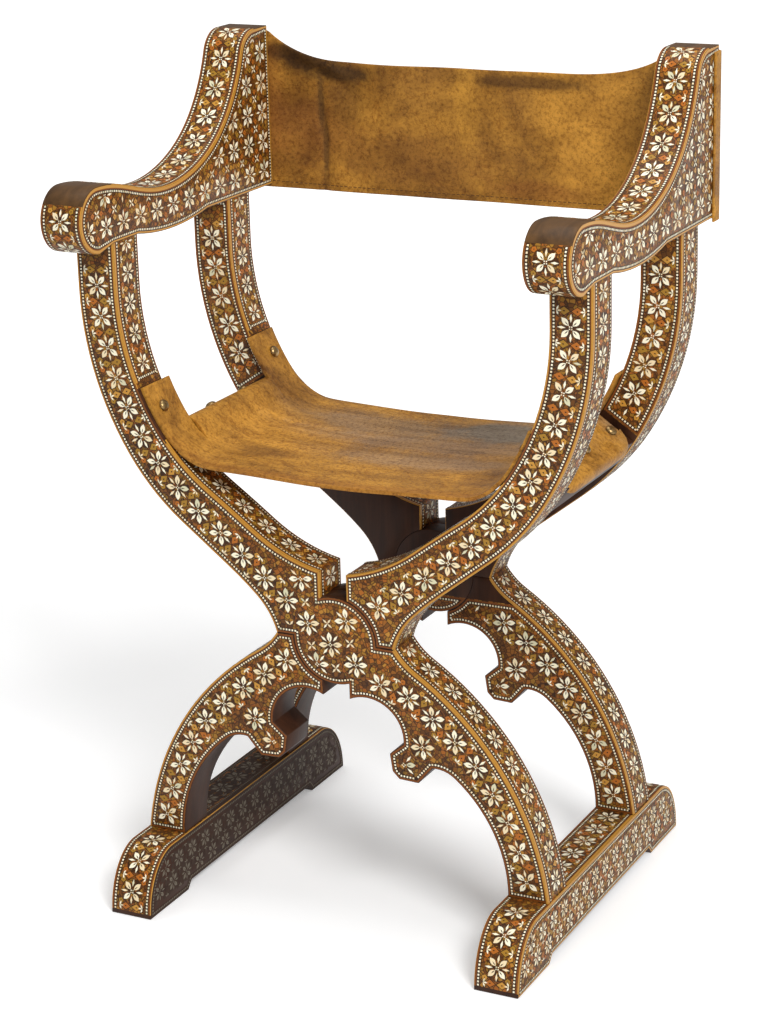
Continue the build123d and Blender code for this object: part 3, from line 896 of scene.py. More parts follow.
def wood_faces(piece, paths, axis, inlaid, plain):
    """Gives the inlaid faces the marquetry ground and their worn corners gold, partly stringing and partly a
    painted highlight, and leaves the others plain.
    """
    mesh = piece.data
    mesh.materials.clear()
    for name in (plain, "marquetry_ground", "inlay_gold"):
        mesh.materials.append(material(name))
    others = [i for i in range(3) if i != axis]
    for face in mesh.polygons:
        if abs(face.normal[axis]) > FACE_ON:
            face.material_index = 1 if inlaid(face.center) else 0
            continue
        middle = np.array([face.center[others[0]], face.center[others[1]]])
        for path in paths:
            a, b = path[:-1], path[1:]
            run = b - a
            t = np.clip(((middle - a) * run).sum(1) / (run ** 2).sum(1), 0, 1)
            if np.sqrt((((a + run * t[:, None]) - middle) ** 2).sum(1)).min() < EDGE_FOUND:
                # a worn corner beside an inlaid edge is gold: partly stringing, partly a painted highlight
                face.material_index = 2 if abs(face.normal[axis]) > FACE_TILTED else 1
                break


def motifs():
    return flower_motif(), cross_motif(), corner_motif(), star_motif(), spark_motif()


def border(layout, path, closed, golden=False, inset=None):
    """The margin, dark line and dots along an edge, and a golden line along its corner, partly stringing and
    partly a painted highlight.
    """
    s = sizes("inlay_sizes")
    inset = s.border if inset is None else inset
    layout.band(path, closed, EDGE_GAP, inset - LINE_OUT, 1, RED)
    if golden:
        layout.band(path, closed, EDGE_GAP, np.maximum(GOLD_LEAST, inset * GOLD_SHARE), 2, GOLD)
    layout.band(path, closed, inset - LINE_OUT, inset + LINE_IN, 3, LINE)
    layout.dots(path, closed, inset, s.dot_pitch, s.dot, 4)


def close_border(layout, outline, golden=False, inset=None):
    """A border all round a face, without the tiles that its sharp corners push over the edge."""
    border(layout, outline, True, golden, inset)
    # each margin is a little less than where its own strip starts
    layout.trim(outline, 1, 2, 0.9 * MM)
    layout.trim(outline, 3, 3, sizes("inlay_sizes").border - 2.0 * MM)


def strip_layout(seed, path, width, pitch, made, start=None, golden="low", grow=0.86, shut=(False, False)):
    """One row of flowers for a side face of this width, with a golden band along one edge or none.

    shut says which ends of the strip close with a row of dots."""
    s = sizes("inlay_sizes")
    total = lengths(path)[-1]
    layout = Layout(seed)
    low = WIDE_INSET if golden == "low" else s.border
    high = WIDE_INSET if golden == "high" else s.border
    middle = (width + low - high) / 2
    first_flower = pitch / 2 if start is None else start
    layout.row(np.array([[0, middle], [total, middle]]), pitch, first_flower, made[:3], grow)
    clear = 1.8 * MM
    first, last = (clear + SHUT_INSET if closes else OPEN_END for closes in shut)
    field = np.array([[first, low + clear], [total - last, low + clear],
                      [total - last, width - high - clear], [first, width - high - clear]])
    layout.trim(field, 0, 9, 0)
    layout.trim(np.array([[0, 0], [total, 0], [total, width], [0, width]]), 0, 9, 0.2 * MM)
    border(layout, np.array([[0, 0], [total, 0]]), False, golden == "low", low)
    border(layout, np.array([[total, width], [0, width]]), False, golden == "high", high)
    for closes, x, foot, head in zip(shut, (0, total), (width - high, low), (low, width - high)):
        if closes:
            border(layout, np.array([[x, foot], [x, head]]), False, False, SHUT_INSET)
    return layout


def cap_layout(seed, outline, rows, extras, sparks, made):
    """Rows of flowers, single flowers and sparks on one flat face, with a border all round."""
    s = sizes("inlay_sizes")
    layout = Layout(seed)
    for path in rows:
        layout.row(path, s.pitch, 0, made[:3])
    for motif, places in ((made[0], extras), (made[4], sparks)):
        for x, z in places:
            layout.lay(motif, x * MM, z * MM, HUB_TURN)
    layout.trim(outline, 0, 9, s.border + 1.8 * MM)
    close_border(layout, outline)
    layout.trim(outline, 4, 4, s.border - 1.3 * MM)
    return layout


def dress_leg(node, body, hand, near, far, made, seed):
    """One X-frame leg, from its outer face, near, to its inner one, far.

    hand is +1 where its upper part is on the right."""
    s = sizes("inlay_sizes")
    wood = copy_of(node, node + "_wood")
    press = Press(node + "_inlay")
    paths = []
    out = -1 if near < 0 else 1
    through = node.endswith("_a")
    rail_up = RAIL_UP * (hand, 1)
    rail_at = RAIL_AT * (hand, 1) + rail_up * RAIL_CLEAR
    for outline in cap_outlines(wood, 1, near):
        if area(outline) < SMALLEST_FIELD:
            continue
        edges = leg_paths(outline, hand)
        layout = leg_layout(seed, outline, hand, through, made)
        for path in edges:
            # a thin golden line along the corner: partly stringing, partly a painted highlight
            layout.band(path, False, 0.9 * MM, 1.9 * MM, 2, GOLD)
        press.flat(layout, 1, near, out)
        paths += edges
        seed += 1
    for outline in cap_outlines(wood, 1, far):
        for at, facing in ((rail_at, rail_up), (np.array((0, HUB_LOW)), np.array((0, -1)))):
            field = beyond(outline, at, facing)
            if field is not None and area(field) > SMALLEST_FIELD:
                press.flat(leg_layout(seed, field, hand, False, made), 1, far, -out)
                seed += 1
    for path in paths:
        seed += 1
        shut = [any(abs(end[1] / MM - mark[1]) < TAB_NEAR for mark in (TAB_LOW, TAB_HIGH))
                for end in (path[0], path[-1])]
        layout = strip_layout(seed, path, LEG_DEPTH, s.pitch - 0.7 * MM, made, shut=shut)
        press.round(layout, path, 1, min(near, far))
    divide(wood, rail_at, rail_up)
    divide(wood, np.array((0, HUB_LOW)), np.array((0, -1)))
    soften(wood, s.edge_round)

    def inlaid(centre):
        on_far = abs(centre.y - far) < abs(centre.y - near)
        above = (np.array((centre.x, centre.z)) - rail_at) @ rail_up > 0
        return not on_far or above or centre.z < HUB_LOW

    wood_faces(wood, paths, 1, inlaid, "walnut_upright")
    replace_node(wood, node, body)
    press.finish(body)


def divide(piece, at, facing):
    """Cuts the faces of a piece along a line across its front."""
    pick(piece)
    bpy.ops.object.mode_set(mode="EDIT")
    bpy.ops.mesh.select_all(action="SELECT")
    bpy.ops.mesh.bisect(plane_co=(at[0], 0, at[1]), plane_no=(facing[0], 0, facing[1]))
    bpy.ops.object.mode_set(mode="OBJECT")


def leg_layout(seed, outline, hand, through, made):
    """The inlay of one face of a leg; through faces carry the knuckle's disc."""
    # in these marks the leg runs from the upper left to the lower right
    marks = (outline * (-1, 1))[::-1] if hand > 0 else outline
    upper = [(-x, z) for x, z in UPPER_ROW]
    lower, extras, sparks = LOWER_START + LOWER_ROW[2:], LOWER_FLOWERS, []
    if through:
        upper = HUB_ROW + upper[3:]
        lower, extras, sparks = LOWER_ROW, HUB_FLOWERS + LOWER_FLOWERS[:2], HUB_SPARKS
    layout = cap_layout(seed, marks, [smooth_path(upper), smooth_path(lower)], extras, sparks, made)
    if hand > 0:
        layout.tiles = [((p * (-1, 1))[::-1], kind, height) for p, kind, height in layout.tiles]
    return layout


def leg_paths(outline, hand):
    """The edge paths of a leg whose side faces are inlaid, in the outline's own direction."""
    found = []
    # the ends of each edge on its side of the chair, and the part of it that the leather's tab covers
    ends = [((300.5, 745), (73, 336), None), ((17, 411), (253.5, 745), (TAB_LOW, TAB_HIGH)),
            ((248.5, 72), (73, 333), None), ((16, 386), (16, 410), None)]
    for first, last, tab in ends:
        # the upper and the lower part of a leg are on opposite sides
        side = hand if first[1] + last[1] > 600 else -hand
        a, b = np.array(first) * (side, 1), np.array(last) * (side, 1)
        if max(np.sqrt(((outline - m * MM) ** 2).sum(1)).min() for m in (a, b)) > MARK_NEAR:
            continue
        path = min((stretch(outline, a, b), stretch(outline, b, a)), key=lambda p: lengths(p)[-1])
        found += without(path, *(np.array(t) * (side, 1) for t in tab)) if tab else [path]
    return [path for path in found if lengths(path)[-1] > SHORTEST_STRIP]


class CHAIR_OT_legs(bpy.types.Operator):
    """Make the four legs of the two X-frames, with their inlay"""

    bl_idname = "chair.legs"
    bl_label = "Legs"

    def execute(self, context):
        made = motifs()
        dress_leg("front_leg_a", "frame_a", -1, -LEG_FRONT, -LEG_BACK, made, 10)
        dress_leg("front_leg_b", "frame_b", 1, -LEG_FRONT, -LEG_BACK, made, 30)
        dress_leg("rear_leg_a", "frame_a", -1, LEG_FRONT, LEG_BACK, made, 50)
        dress_leg("rear_leg_b", "frame_b", 1, LEG_FRONT, LEG_BACK, made, 70)
        return {"FINISHED"}


def dress_arm(node, body, low, made, seed):
    """An arm with its post, scroll and sweep."""
    s = sizes("inlay_sizes")
    flower, star = made[0], made[3]
    wood = copy_of(node, node + "_wood")
    press = Press(node + "_inlay")
    high = low + (ARM_OUT - ARM_IN)
    pitch = s.arm_pitch
    for level, out in ((low, -1), (high, 1)):
        outline = cap_outlines(wood, 0, level)[0]
        # along the top, which has the golden band, the dots stand further in
        top = stretch(outline, (172, 938), (-176, 746))
        marks = {tuple(np.round(p, 6)) for p in top}
        wide = [tuple(np.round(p, 6)) in marks for p in outline]
        inset = np.where(wide, WIDE_INSET, s.border)
        layout = Layout(seed)
        for j in range(12):
            for k in range(6):
                y, z = ARM_FIRST[0] - pitch * j, ARM_FIRST[1] + pitch * k
                layout.lay(flower, y, z, 0, ARM_GROW)
                layout.lay(star, y - pitch / 2, z + pitch / 2, 0, ARM_GROW)
                if k == 0:
                    layout.lay(star, y - pitch / 2, z - pitch / 2, 0, ARM_GROW)
        layout.trim(offset(outline, True, inset + 1.8 * MM), 0, 9, 0)
        close_border(layout, outline, True, inset)
        press.flat(layout, 0, level, out)
        seed += 1
    # the outline runs anticlockwise, so this path goes forward along the top and down the scroll
    top = stretch(outline, (178, 938), (-176, 746))
    parts = without(top, *SCROLL_WORN)
    for path, start in zip(parts, (14 * MM, 17 * MM)):
        layout = strip_layout(seed, path, high - low, pitch + 1.5 * MM, made, start, None, 0.95)
        press.round(layout, path, 0, low)
        seed += 1
    soften(wood, s.edge_round)
    wood_faces(wood, parts, 0, lambda centre: True, "walnut_worn")
    replace_node(wood, node, body)
    press.finish(body)


class CHAIR_OT_arms(bpy.types.Operator):
    """Make the two arms with their posts and inlay"""

    bl_idname = "chair.arms"
    bl_label = "Arms"

    def execute(self, context):
        made = motifs()
        dress_arm("left_arm", "frame_a", -ARM_OUT, made, 100)
        dress_arm("right_arm", "frame_b", ARM_IN, made, 120)
        return {"FINISHED"}


def dress_runner(node, body, low, made, seed):
    """A floor runner with its two noses."""
    s = sizes("inlay_sizes")
    wood = copy_of(node, node + "_wood")
    press = Press(node + "_inlay")
    high = low + (RUNNER_OUT - RUNNER_IN)
    paint_shade = node == "left_runner"  # painted shade: its inner side and its top between the legs are darkened, as in the shadow under the chair
    for level, out in ((low, -1), (high, 1)):
        outline = cap_outlines(wood, 0, level)[0]
        layout = Layout(seed)
        for start, z in RUNNER_ROWS:
            path = np.array([(-222, z), (222, z)]) * MM
            layout.row(path, RUNNER_PITCH, start * MM, made[:3], RUNNER_GROW)
        layout.trim(outline, 0, 9, s.border + 1.6 * MM)
        close_border(layout, outline, True)
        if paint_shade and out > 0:
            layout.paint_shade()
        press.flat(layout, 0, level, out)
        seed += 1
    over = stretch(outline, (234.8, 5), (-234.8, 5))
    tail, rest = without(over, (LEG_FRONT / MM + 1, RUNNER_TOP), (LEG_BACK / MM - 1, RUNNER_TOP))
    middle, nose = without(rest, (-LEG_BACK / MM + 1, RUNNER_TOP), (-LEG_FRONT / MM - 1, RUNNER_TOP))
    paths = [tail, middle, nose]
    for path, start, golden in zip(paths, (18, 15, 30), (None, "high", None)):
        seed += 1
        layout = strip_layout(seed, path, high - low, 35 * MM, made, start * MM, golden, 0.97)
        if paint_shade and path is middle:
            layout.paint_shade()
        press.round(layout, path, 0, low)
    soften(wood, s.edge_round)

    # painted shade: on the left runner the inner side is left plain dark walnut
    def inlaid(centre):
        if not paint_shade:
            return True
        on_top = centre.z >= (RUNNER_TOP - 1) * MM
        return centre.x < high - 2 * MM and (not on_top or abs(centre.y) > LEG_FRONT)

    wood_faces(wood, paths, 0, inlaid, "walnut_across")
    replace_node(wood, node, body)
    press.finish(body)


class CHAIR_OT_runners(bpy.types.Operator):
    """Make the two floor runners with their inlay"""

    bl_idname = "chair.runners"
    bl_label = "Runners"

    def execute(self, context):
        made = motifs()
        dress_runner("right_runner", "frame_a", RUNNER_IN, made, 140)
        dress_runner("left_runner", "frame_b", -RUNNER_OUT, made, 160)
        return {"FINISHED"}


class CHAIR_OT_rails(bpy.types.Operator):
    """Finish the seat rails and the pivot pins"""

    bl_idname = "chair.rails"
    bl_label = "Rails and pins"

    def execute(self, context):
        for node, body in (("left_seat_rail", "frame_a"), ("right_seat_rail", "frame_b")):
            wood = copy_of(node, node + "_wood")
            soften(wood, 1.2 * MM)
            wood.data.materials.append(material("walnut_across"))
            replace_node(wood, node, body)
        for node in ("front_pivot_pin", "rear_pivot_pin"):
            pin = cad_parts[node]
            for slot in pin.material_slots:
                slot.material = material("walnut_across")
        return {"FINISHED"}


# ---------------------------------------------------------------- leather

# the leather's underside as (x, z) from the middle of the seat out, and a flap's round the middle of its rail
SLING_MARKS = [(0, 505), (30, 505.2), (60, 505.8), (90.1, 506.8), (120, 508.2), (150.1, 510), (164.2, 512.5),
               (177.4, 518.1), (185.5, 523.2)]
TAB_MARKS = [(185.5, 523.2), (189.2, 526.2), (199.6, 536.2), (208.2, 547.7), (214.8, 558.3), (220.8, 569.2),
             (226.4, 580.4), (231.4, 591.8)]
FLAP_MARKS = [(31, -14), (30.4, -4), (29.8, 5), (28.2, 12), (24.4, 15.6), (20, 15.9), (0, 15.5), (-20, 15.9),
              (-23.8, 15.6), (-25.0, 12.5), (-24.8, 7)]
SEAT_HALF = 145  # front and back edges of the seat
FLAP_HALF = 89  # sides of a flap
FLAP_ROUND = 24
FLAP_TURN = 0.66  # share of the flap's length at which its corners begin to round
# the strap's lower edge, its upper corners, and how far the upper edge dips, in millimetres
STRAP_LOW, STRAP_HIGH, STRAP_DIP = 748, 932, 34
STRAP_RISE = 152  # about the height of the strap in its middle
SEAM_END = 60 * MM  # from each end of the strap to its first stitch


def rail_point(across, up):
    return RAIL_AT + RAIL_IN * across * MM + RAIL_UP * up * MM


def resample(path, count):
    total = lengths(path)[-1]
    points, _ = along(path, np.linspace(0, total * 0.999999, count))
    return points


def grid_mesh(name, points_of, columns, rows_of, apart=lambda a, b, row: False):
    """Joins a grid of points in quads: columns are keys, and rows_of gives each column's row keys.

    apart says where two columns aren't joined."""
    verts, index, faces = [], {}, []
    for column in columns:
        for row in rows_of(column):
            index[column, row] = len(verts)
            verts.append(points_of(column, row))
    for a, b in zip(columns[:-1], columns[1:]):
        shared = [r for r in rows_of(a) if (b, r) in index and not apart(a, b, r)]
        for r, t in zip(shared[:-1], shared[1:]):
            if t - r == 1:
                faces.append((index[a, r], index[b, r], index[b, t], index[a, t]))
    mesh = bpy.data.meshes.new(name)
    mesh.from_pydata(verts, [], faces)
    mesh.update()
    return link_mesh(name, mesh)


def make_leather(piece, thickness, rounding, finish):
    """Thickens a sheet outwards, rounds its edges and gives it its leather."""
    thick = piece.modifiers.new("thickness", "SOLIDIFY")
    thick.thickness, thick.offset = thickness - 0.2 * MM, 1.0
    thick.use_even_offset = True
    edge = piece.modifiers.new("edges", "BEVEL")
    edge.width, edge.segments = rounding, 2
    edge.limit_method, edge.angle_limit = "ANGLE", math.radians(50)
    apply_modifiers(piece)
    bpy.ops.object.shade_smooth_by_angle(angle=math.radians(55))
    piece.data.materials.append(material(finish))


class CHAIR_OT_seat_leather(bpy.types.Operator):
    """Make the seat sling with its tabs, flaps and creases"""

    bl_idname = "chair.seat_leather"
    bl_label = "Seat leather"

    def execute(self, context):
        s = sizes("leather_sizes")
        half = resample(smooth_path(SLING_MARKS), 34)
        tab = resample(smooth_path(TAB_MARKS), 16)[1:]
        flap_marks = [tuple(rail_point(*m) / MM) for m in FLAP_MARKS]
        flap = resample(smooth_path(flap_marks, 0.8), 46)[1:]
        common = len(half) - 1
        middle_y = list(np.linspace(-FLAP_HALF, FLAP_HALF, 37))
        side_y = list(np.linspace(FLAP_HALF + 1, SEAT_HALF, 12))
        # from the back to the front, so that the faces point up
        columns = [-y for y in side_y[::-1]] + middle_y + side_y
        columns.reverse()
        flap_rows, tab_rows = len(flap), len(tab)

        def rows_of(y):
            more = flap_rows if abs(y) <= FLAP_HALF else tab_rows
            return list(range(-common - more, common + more + 1))

        def creased(y, x, z):
            """Small waves where the leather pulls on its nails."""
            pull = math.sin(y * 0.105 + 0.6) * math.exp(-((abs(x) - 168) / 38) ** 2) * 0.9
            sag = -1.3 * math.cos(math.pi * min(abs(x) / 190, 1) / 2) * math.cos(math.pi * y / 320)
            ripple = 0.5 * math.sin(x * 0.041 + y * 0.013) * math.cos(y * 0.037 - x * 0.009)
            return z + (pull + sag + ripple) * MM

        def points_of(y, row):
            side = -1 if row < 0 else 1
            k = abs(row)
            if k <= common:
                x, z = half[k]
                z = creased(y, x / MM, z)
            elif abs(y) <= FLAP_HALF:
                over = flap[k - common - 1]
                x, z = over
                past = (k - common) / flap_rows
                inset = abs(y) - (FLAP_HALF - FLAP_ROUND)
                if past > FLAP_TURN and inset > 0:
                    cut = FLAP_ROUND - math.sqrt(max(0.0, FLAP_ROUND ** 2 - inset ** 2))
                    start = flap[int(FLAP_TURN * flap_rows)]
                    x, z = start + (over - start) * (1 - cut / (FLAP_ROUND * 1.06))
            else:
                x, z = tab[k - common - 1]
            return (side * x, y * MM, z)

        def apart(a, b, row):
            return (abs(a) <= FLAP_HALF) != (abs(b) <= FLAP_HALF) and abs(row) > common

        piece = grid_mesh("seat_sling", points_of, columns, rows_of, apart)
        make_leather(piece, s.seat_thick, 1.0 * MM, "leather_seat")
        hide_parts("seat_leather")
        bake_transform(piece)
        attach(piece, "frame_b")
        return {"FINISHED"}


def make_seam(points, thick):
    """A row of stitches along the front of the back strap, each a copy of one."""
    s = sizes("leather_sizes")
    bpy.ops.object.select_all(action="DESELECT")
    bpy.ops.mesh.primitive_cube_add(size=1, location=(0, 0, 0))
    first = bpy.context.object
    bpy.ops.object.mode_set(mode="EDIT")
    bpy.ops.mesh.select_all(action="SELECT")
    bpy.ops.transform.resize(value=(s.stitch, 0.8 * MM, 0.9 * MM))
    bpy.ops.mesh.bevel(offset=0.3 * MM, segments=1)
    bpy.ops.object.mode_set(mode="OBJECT")
    line = np.array(points)
    total = lengths(line[:, :2])
    row = []
    for at in np.arange(SEAM_END, total[-1] - SEAM_END, s.stitch_pitch):
        place = [np.interp(at, total, line[:, k]) for k in range(3)]
        ahead = [np.interp(at + 1 * MM, total, line[:, k]) for k in range(3)]
        turn = math.atan2(ahead[1] - place[1], ahead[0] - place[0])
        mesh = first.data.copy()
        stand = Matrix.Translation((place[0], place[1] - thick - 0.05 * MM, place[2]))
        mesh.transform(stand @ Matrix.Rotation(turn, 4, "Z"))
        row.append(link_mesh("stitch", mesh))
    bpy.data.objects.remove(first)
    seam = joined(row, "back_stitches")
    seam.data.materials.append(material("thread"))
    return seam


def joined(pieces, name):
    """Joins pieces in one, under a new name."""
    pick(pieces[0])
    for piece in pieces:
        piece.select_set(True)
    bpy.ops.object.join()
    pieces[0].name = pieces[0].data.name = name
    return pieces[0]


class CHAIR_OT_back_leather(bpy.types.Operator):
    """Make the back strap with its folds and stitched seam"""

    bl_idname = "chair.back_leather"
    bl_label = "Back leather"

    def execute(self, context):
        s = sizes("leather_sizes")
        wrap = 302.4
        plan = smooth_path([(wrap, 185.6), (wrap, 194), (wrap - 0.1, 201), (wrap - 1.6, 203.3),
                            (wrap - 5, 203.5), (270, 203.4), (252, 203.4), (240, 203.6), (200, 204),
                            (100, 204), (0, 204)], 1.0)
        wrapped = resample(plan, 84)
        full = np.vstack([wrapped, (wrapped * (-1, 1))[::-1][1:]])
        rows = list(range(37))
        columns = list(range(len(full)))

        def top_of(x):
            t = min(abs(x) / MM / 252, 1)
            dip = STRAP_DIP * (1 - t ** 6.5)
            return (STRAP_HIGH - dip) * MM

        def points_of(i, r):
            x, y = full[i]
            share = r / rows[-1]
            high = top_of(x)
            z = STRAP_LOW * MM + (high - STRAP_LOW * MM) * share
            free = max(0.0, 1 - (abs(x) / MM / 246) ** 6)
            across, up = x / MM, z / MM
            wave = 2.2 * math.sin(across * 0.021 + 0.8) + 1.4 * math.sin(across * 0.052 - up * 0.02 + 2.0)
            belly = 4.0 * math.sin(math.pi * share)
            # a fold drawn down from the upper left corner, and a crease below it
            off_fold = (up - 925 + (across + 250) * 0.41) / 9
            fold = -3.4 * math.exp(-off_fold ** 2) + 2.4 * math.exp(-(off_fold + 1.6) ** 2)
            fold *= math.exp(-((across + 196) / 52) ** 4)
            crease = 2.2 * math.exp(-((across + 182 - 3 * math.sin(up * 0.05)) / 5) ** 2)
            crease *= max(0.0, 1 - share ** 3)
            fold_right = -2.0 * math.exp(-((up - 886 + (across - 80) * 0.05) / 8) ** 2)
            fold_right *= math.exp(-((across - 90) / 80) ** 4)
            pulled = wave * (0.35 + 0.65 * share) + belly + fold + crease + fold_right
            return (x, y + free * pulled * MM, z)

        seam_row = s.seam_rise / STRAP_RISE / MM * rows[-1]
        stitches = [points_of(i, seam_row) for i in range(1, len(full) - 1)]

        piece = grid_mesh("back_strap", points_of, columns, lambda i: rows)
        make_leather(piece, s.back_thick, 0.8 * MM, "leather_back")
        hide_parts("back_leather")
        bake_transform(piece)
        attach(piece, "frame_b")
        seam = make_seam(stitches, s.back_thick)
        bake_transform(seam)
        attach(seam, "frame_b")
        return {"FINISHED"}


NAIL_BASE = 90 * MM * MM  # the flat underside of a head is larger than this, and its facets are smaller


class CHAIR_OT_nails(bpy.types.Operator):
    """Make the brass nail heads on the places of the forged ones"""

    bl_idname = "chair.nails"
    bl_label = "Nails"

    def execute(self, context):
        dome = make_dome()
        for side, body in (("left", "frame_a"), ("right", "frame_b")):
            for kind in ("seat", "back"):
                node = f"{side}_{kind}_nails"
                heads = []
                forged = copy_of(node, node + "_places")
                for base in forged.data.polygons:
                    if base.area < NAIL_BASE:
                        continue
                    mesh = dome.data.copy()
                    turn = (-base.normal).to_track_quat("Z", "Y").to_matrix().to_4x4()
                    mesh.transform(Matrix.Translation(base.center) @ turn)
                    heads.append(link_mesh("nail", mesh))
                bpy.data.objects.remove(forged)
                if not heads:
                    raise RuntimeError("no nail places in " + node)
                row = joined(heads, node + "_heads")
                pick(row)
                bpy.ops.object.shade_smooth_by_angle(angle=math.radians(70))
                row.data.materials.append(material("antique_brass"))
                replace_node(row, node, body)
        bpy.data.objects.remove(dome)
        return {"FINISHED"}


def make_dome():
    """One nail head on the floor of its own axes: a half sphere pressed down to a low crown."""
    s = sizes("nail_sizes")
    bpy.ops.object.select_all(action="DESELECT")
    bpy.ops.mesh.primitive_uv_sphere_add(segments=24, ring_count=16, radius=s.radius, location=(0, 0, 0))
    dome = bpy.context.object
    bpy.ops.object.mode_set(mode="EDIT")
    bpy.ops.mesh.select_all(action="SELECT")
    bpy.ops.mesh.bisect(plane_co=(0, 0, 0.02 * MM), plane_no=(0, 0, 1), clear_inner=True, use_fill=True)
    bpy.ops.mesh.select_all(action="SELECT")
    bpy.ops.transform.resize(value=(1, 1, s.height / s.radius))
    bpy.ops.mesh.normals_make_consistent(inside=False)
    bpy.ops.object.mode_set(mode="OBJECT")
    return dome


# ---------------------------------------------------------------- stage

# how the floor's glow rises with the distance from the chair
FLOOR_GLOW = {"From Min": 0.8, "From Max": 3.0, "To Min": 0.24, "To Max": 0.85}
WORLD_LIGHT = 0.36
LAMPS = (("key_light", (2.6, -2.4, 3.2), 1.5, 150), ("top_light", (-0.3, 0.2, 3.6), 2.2, 45))
LAMP_AIM = (0, 0, 0.45)
CAMERA_AT, CAMERA_AIM = (1258.05, -2487.71, 1342.41), (-15.17, 0, 433.5)
CAMERA_LENS, CAMERA_ROLL = 92.52, -1.528


def make_floor(tone):
    """A pale floor with its shadow, which glows where it is looked at."""
    bpy.ops.object.select_all(action="DESELECT")
    bpy.ops.mesh.primitive_plane_add(size=40, location=(0, 0, -0.0002))
    floor = bpy.context.object
    floor.name = "floor"
    bpy.ops.object.transform_apply(location=True, rotation=True, scale=True)
    finish = Finish("floor_white", 0.9)
    finish.shade("Base Color", tone)
    nodes, links, plain = finish.nodes, finish.links, finish.shader.outputs["BSDF"]
    # the far floor has less light, so it glows more
    rise = nodes.new("ShaderNodeMapRange")
    for key, value in FLOOR_GLOW.items():
        rise.inputs[key].default_value = value
    links.new(finish.distance(finish.place()), rise.inputs["Value"])
    glow = nodes.new("ShaderNodeEmission")
    links.new(rise.outputs["Result"], glow.inputs["Strength"])
    both = nodes.new("ShaderNodeAddShader")
    links.new(plain, both.inputs[0])
    links.new(glow.outputs["Emission"], both.inputs[1])
    ray = nodes.new("ShaderNodeLightPath").outputs
    pale = nodes.new("ShaderNodeMixShader")
    links.new(finish.work_out("MAXIMUM", ray["Is Camera Ray"], ray["Is Glossy Ray"]), pale.inputs[0])
    links.new(plain, pale.inputs[1])
    links.new(both.outputs["Shader"], pale.inputs[2])
    links.new(pale.outputs["Shader"], nodes["Material Output"].inputs["Surface"])
    floor.data.materials.append(finish.made)


def make_world():
    """Even light from all round, and a white background."""
    world = bpy.data.worlds.new("studio")
    world.use_nodes = True
    nodes, links = world.node_tree.nodes, world.node_tree.links
    light, back = nodes["Background"], nodes.new("ShaderNodeBackground")
    mix = nodes.new("ShaderNodeMixShader")
    for at, (shader, strength) in enumerate(((light, WORLD_LIGHT), (back, 1.0)), 1):
        shader.inputs["Color"].default_value = (1, 1, 1, 1)
        shader.inputs["Strength"].default_value = strength
        links.new(shader.outputs["Background"], mix.inputs[at])
    links.new(nodes.new("ShaderNodeLightPath").outputs["Is Camera Ray"], mix.inputs[0])
    links.new(mix.outputs["Shader"], nodes["World Output"].inputs["Surface"])
    return world


def hold(name, data):
    """Puts a lamp or a camera in the scene."""
    holder = bpy.data.objects.new(name, data)
    bpy.context.collection.objects.link(holder)
    return holder


def make_camera():
    """The camera, turned a little about its own line of sight."""
    data = bpy.data.cameras.new("camera")
    data.sensor_fit, data.sensor_width, data.lens = "AUTO", 36, CAMERA_LENS
    camera = hold("camera", data)
    at = Vector(CAMERA_AT) * MM
    ahead = (Vector(CAMERA_AIM) * MM - at).normalized()
    right = ahead.cross(Vector((0, 0, 1))).normalized()
    up = right.cross(ahead)
    roll = math.radians(CAMERA_ROLL)
    side = right * math.cos(roll) + up * math.sin(roll)
    high = up * math.cos(roll) - right * math.sin(roll)
    turn = Matrix((side, high, -ahead)).transposed()
    camera.matrix_world = Matrix.Translation(at) @ turn.to_4x4()
    return camera


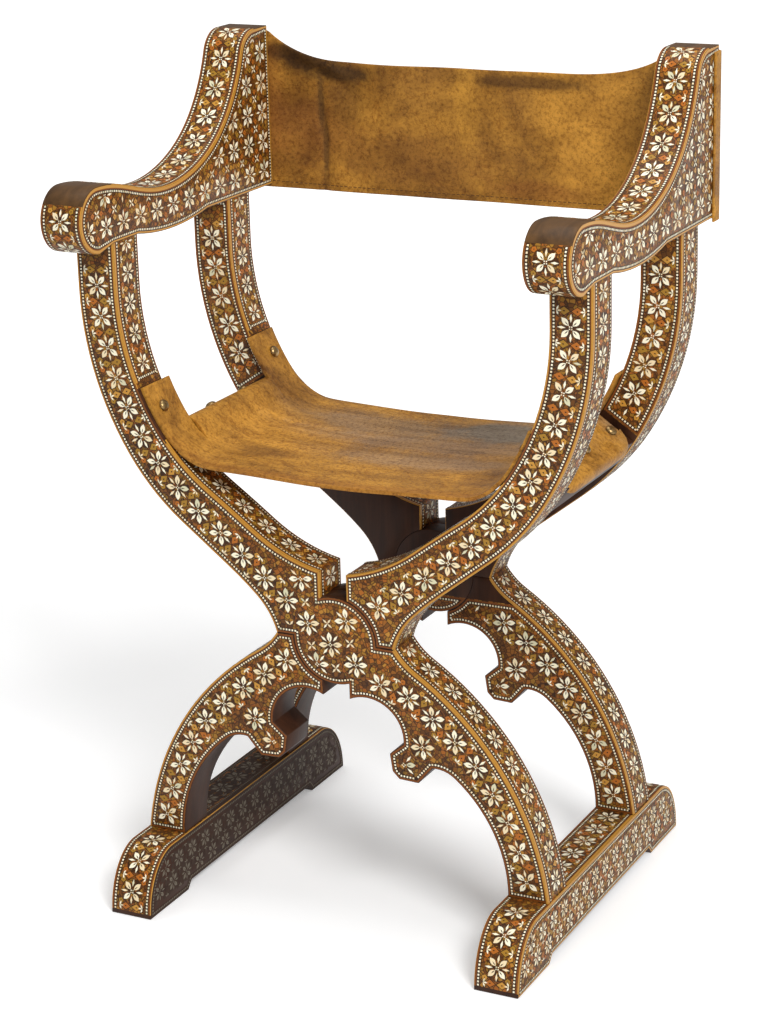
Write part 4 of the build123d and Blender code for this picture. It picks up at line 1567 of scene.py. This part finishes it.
class CHAIR_OT_stage(bpy.types.Operator):
    """Make the floor, the light and the camera"""

    bl_idname = "chair.stage"
    bl_label = "Stage"

    def execute(self, context):
        scene = context.scene
        scene.view_settings.view_transform = "Standard"
        make_floor(tuple(scene.chair_colours.floor))
        scene.world = make_world()
        for name, at, size, power in LAMPS:
            lamp = bpy.data.lights.new(name, "AREA")
            lamp.shape, lamp.size, lamp.energy = "SQUARE", size, power
            holder = hold(name, lamp)
            holder.location = at
            holder.rotation_mode = "QUATERNION"
            holder.rotation_quaternion = (Vector(LAMP_AIM) - Vector(at)).to_track_quat("-Z", "Y")
        scene.camera = make_camera()
        return {"FINISHED"}


class CHAIR_PT_panel(bpy.types.Panel):
    """Lists the sizes, the colours and the pieces"""

    bl_idname = "CHAIR_PT_panel"
    bl_label = "Inlaid Folding Armchair"
    bl_space_type = "VIEW_3D"
    bl_region_type = "UI"
    bl_category = "Armchair"

    def draw(self, context):
        layout = self.layout
        for name, kind in GROUPS.items():
            box = layout.box()
            box.label(text=kind.__doc__.rstrip("."))
            for key in kind.__annotations__:
                box.prop(getattr(context.scene, name), key)
        for operator in OPERATORS:
            layout.operator(operator.bl_idname)


GROUPS = {"inlay_sizes": InlaySizes, "leather_sizes": LeatherSizes, "nail_sizes": NailSizes,
          "chair_colours": ChairColours}
OPERATORS = (CHAIR_OT_stage, CHAIR_OT_legs, CHAIR_OT_arms, CHAIR_OT_runners, CHAIR_OT_rails,
             CHAIR_OT_seat_leather, CHAIR_OT_back_leather, CHAIR_OT_nails)


def register():
    for kind in (*GROUPS.values(), *OPERATORS, CHAIR_PT_panel):
        bpy.utils.register_class(kind)
    for name, kind in GROUPS.items():
        setattr(bpy.types.Scene, name, PointerProperty(type=kind))


def unregister():
    for name in GROUPS:
        delattr(bpy.types.Scene, name)
    for kind in (CHAIR_PT_panel, *reversed(OPERATORS), *reversed(list(GROUPS.values()))):
        bpy.utils.unregister_class(kind)


def main():
    register()
    make_materials()
    for operator in OPERATORS:
        group, name = operator.bl_idname.split(".")
        getattr(getattr(bpy.ops, group), name)()
    bpy.context.view_layer.update()


if __name__ == "__main__":
    main()
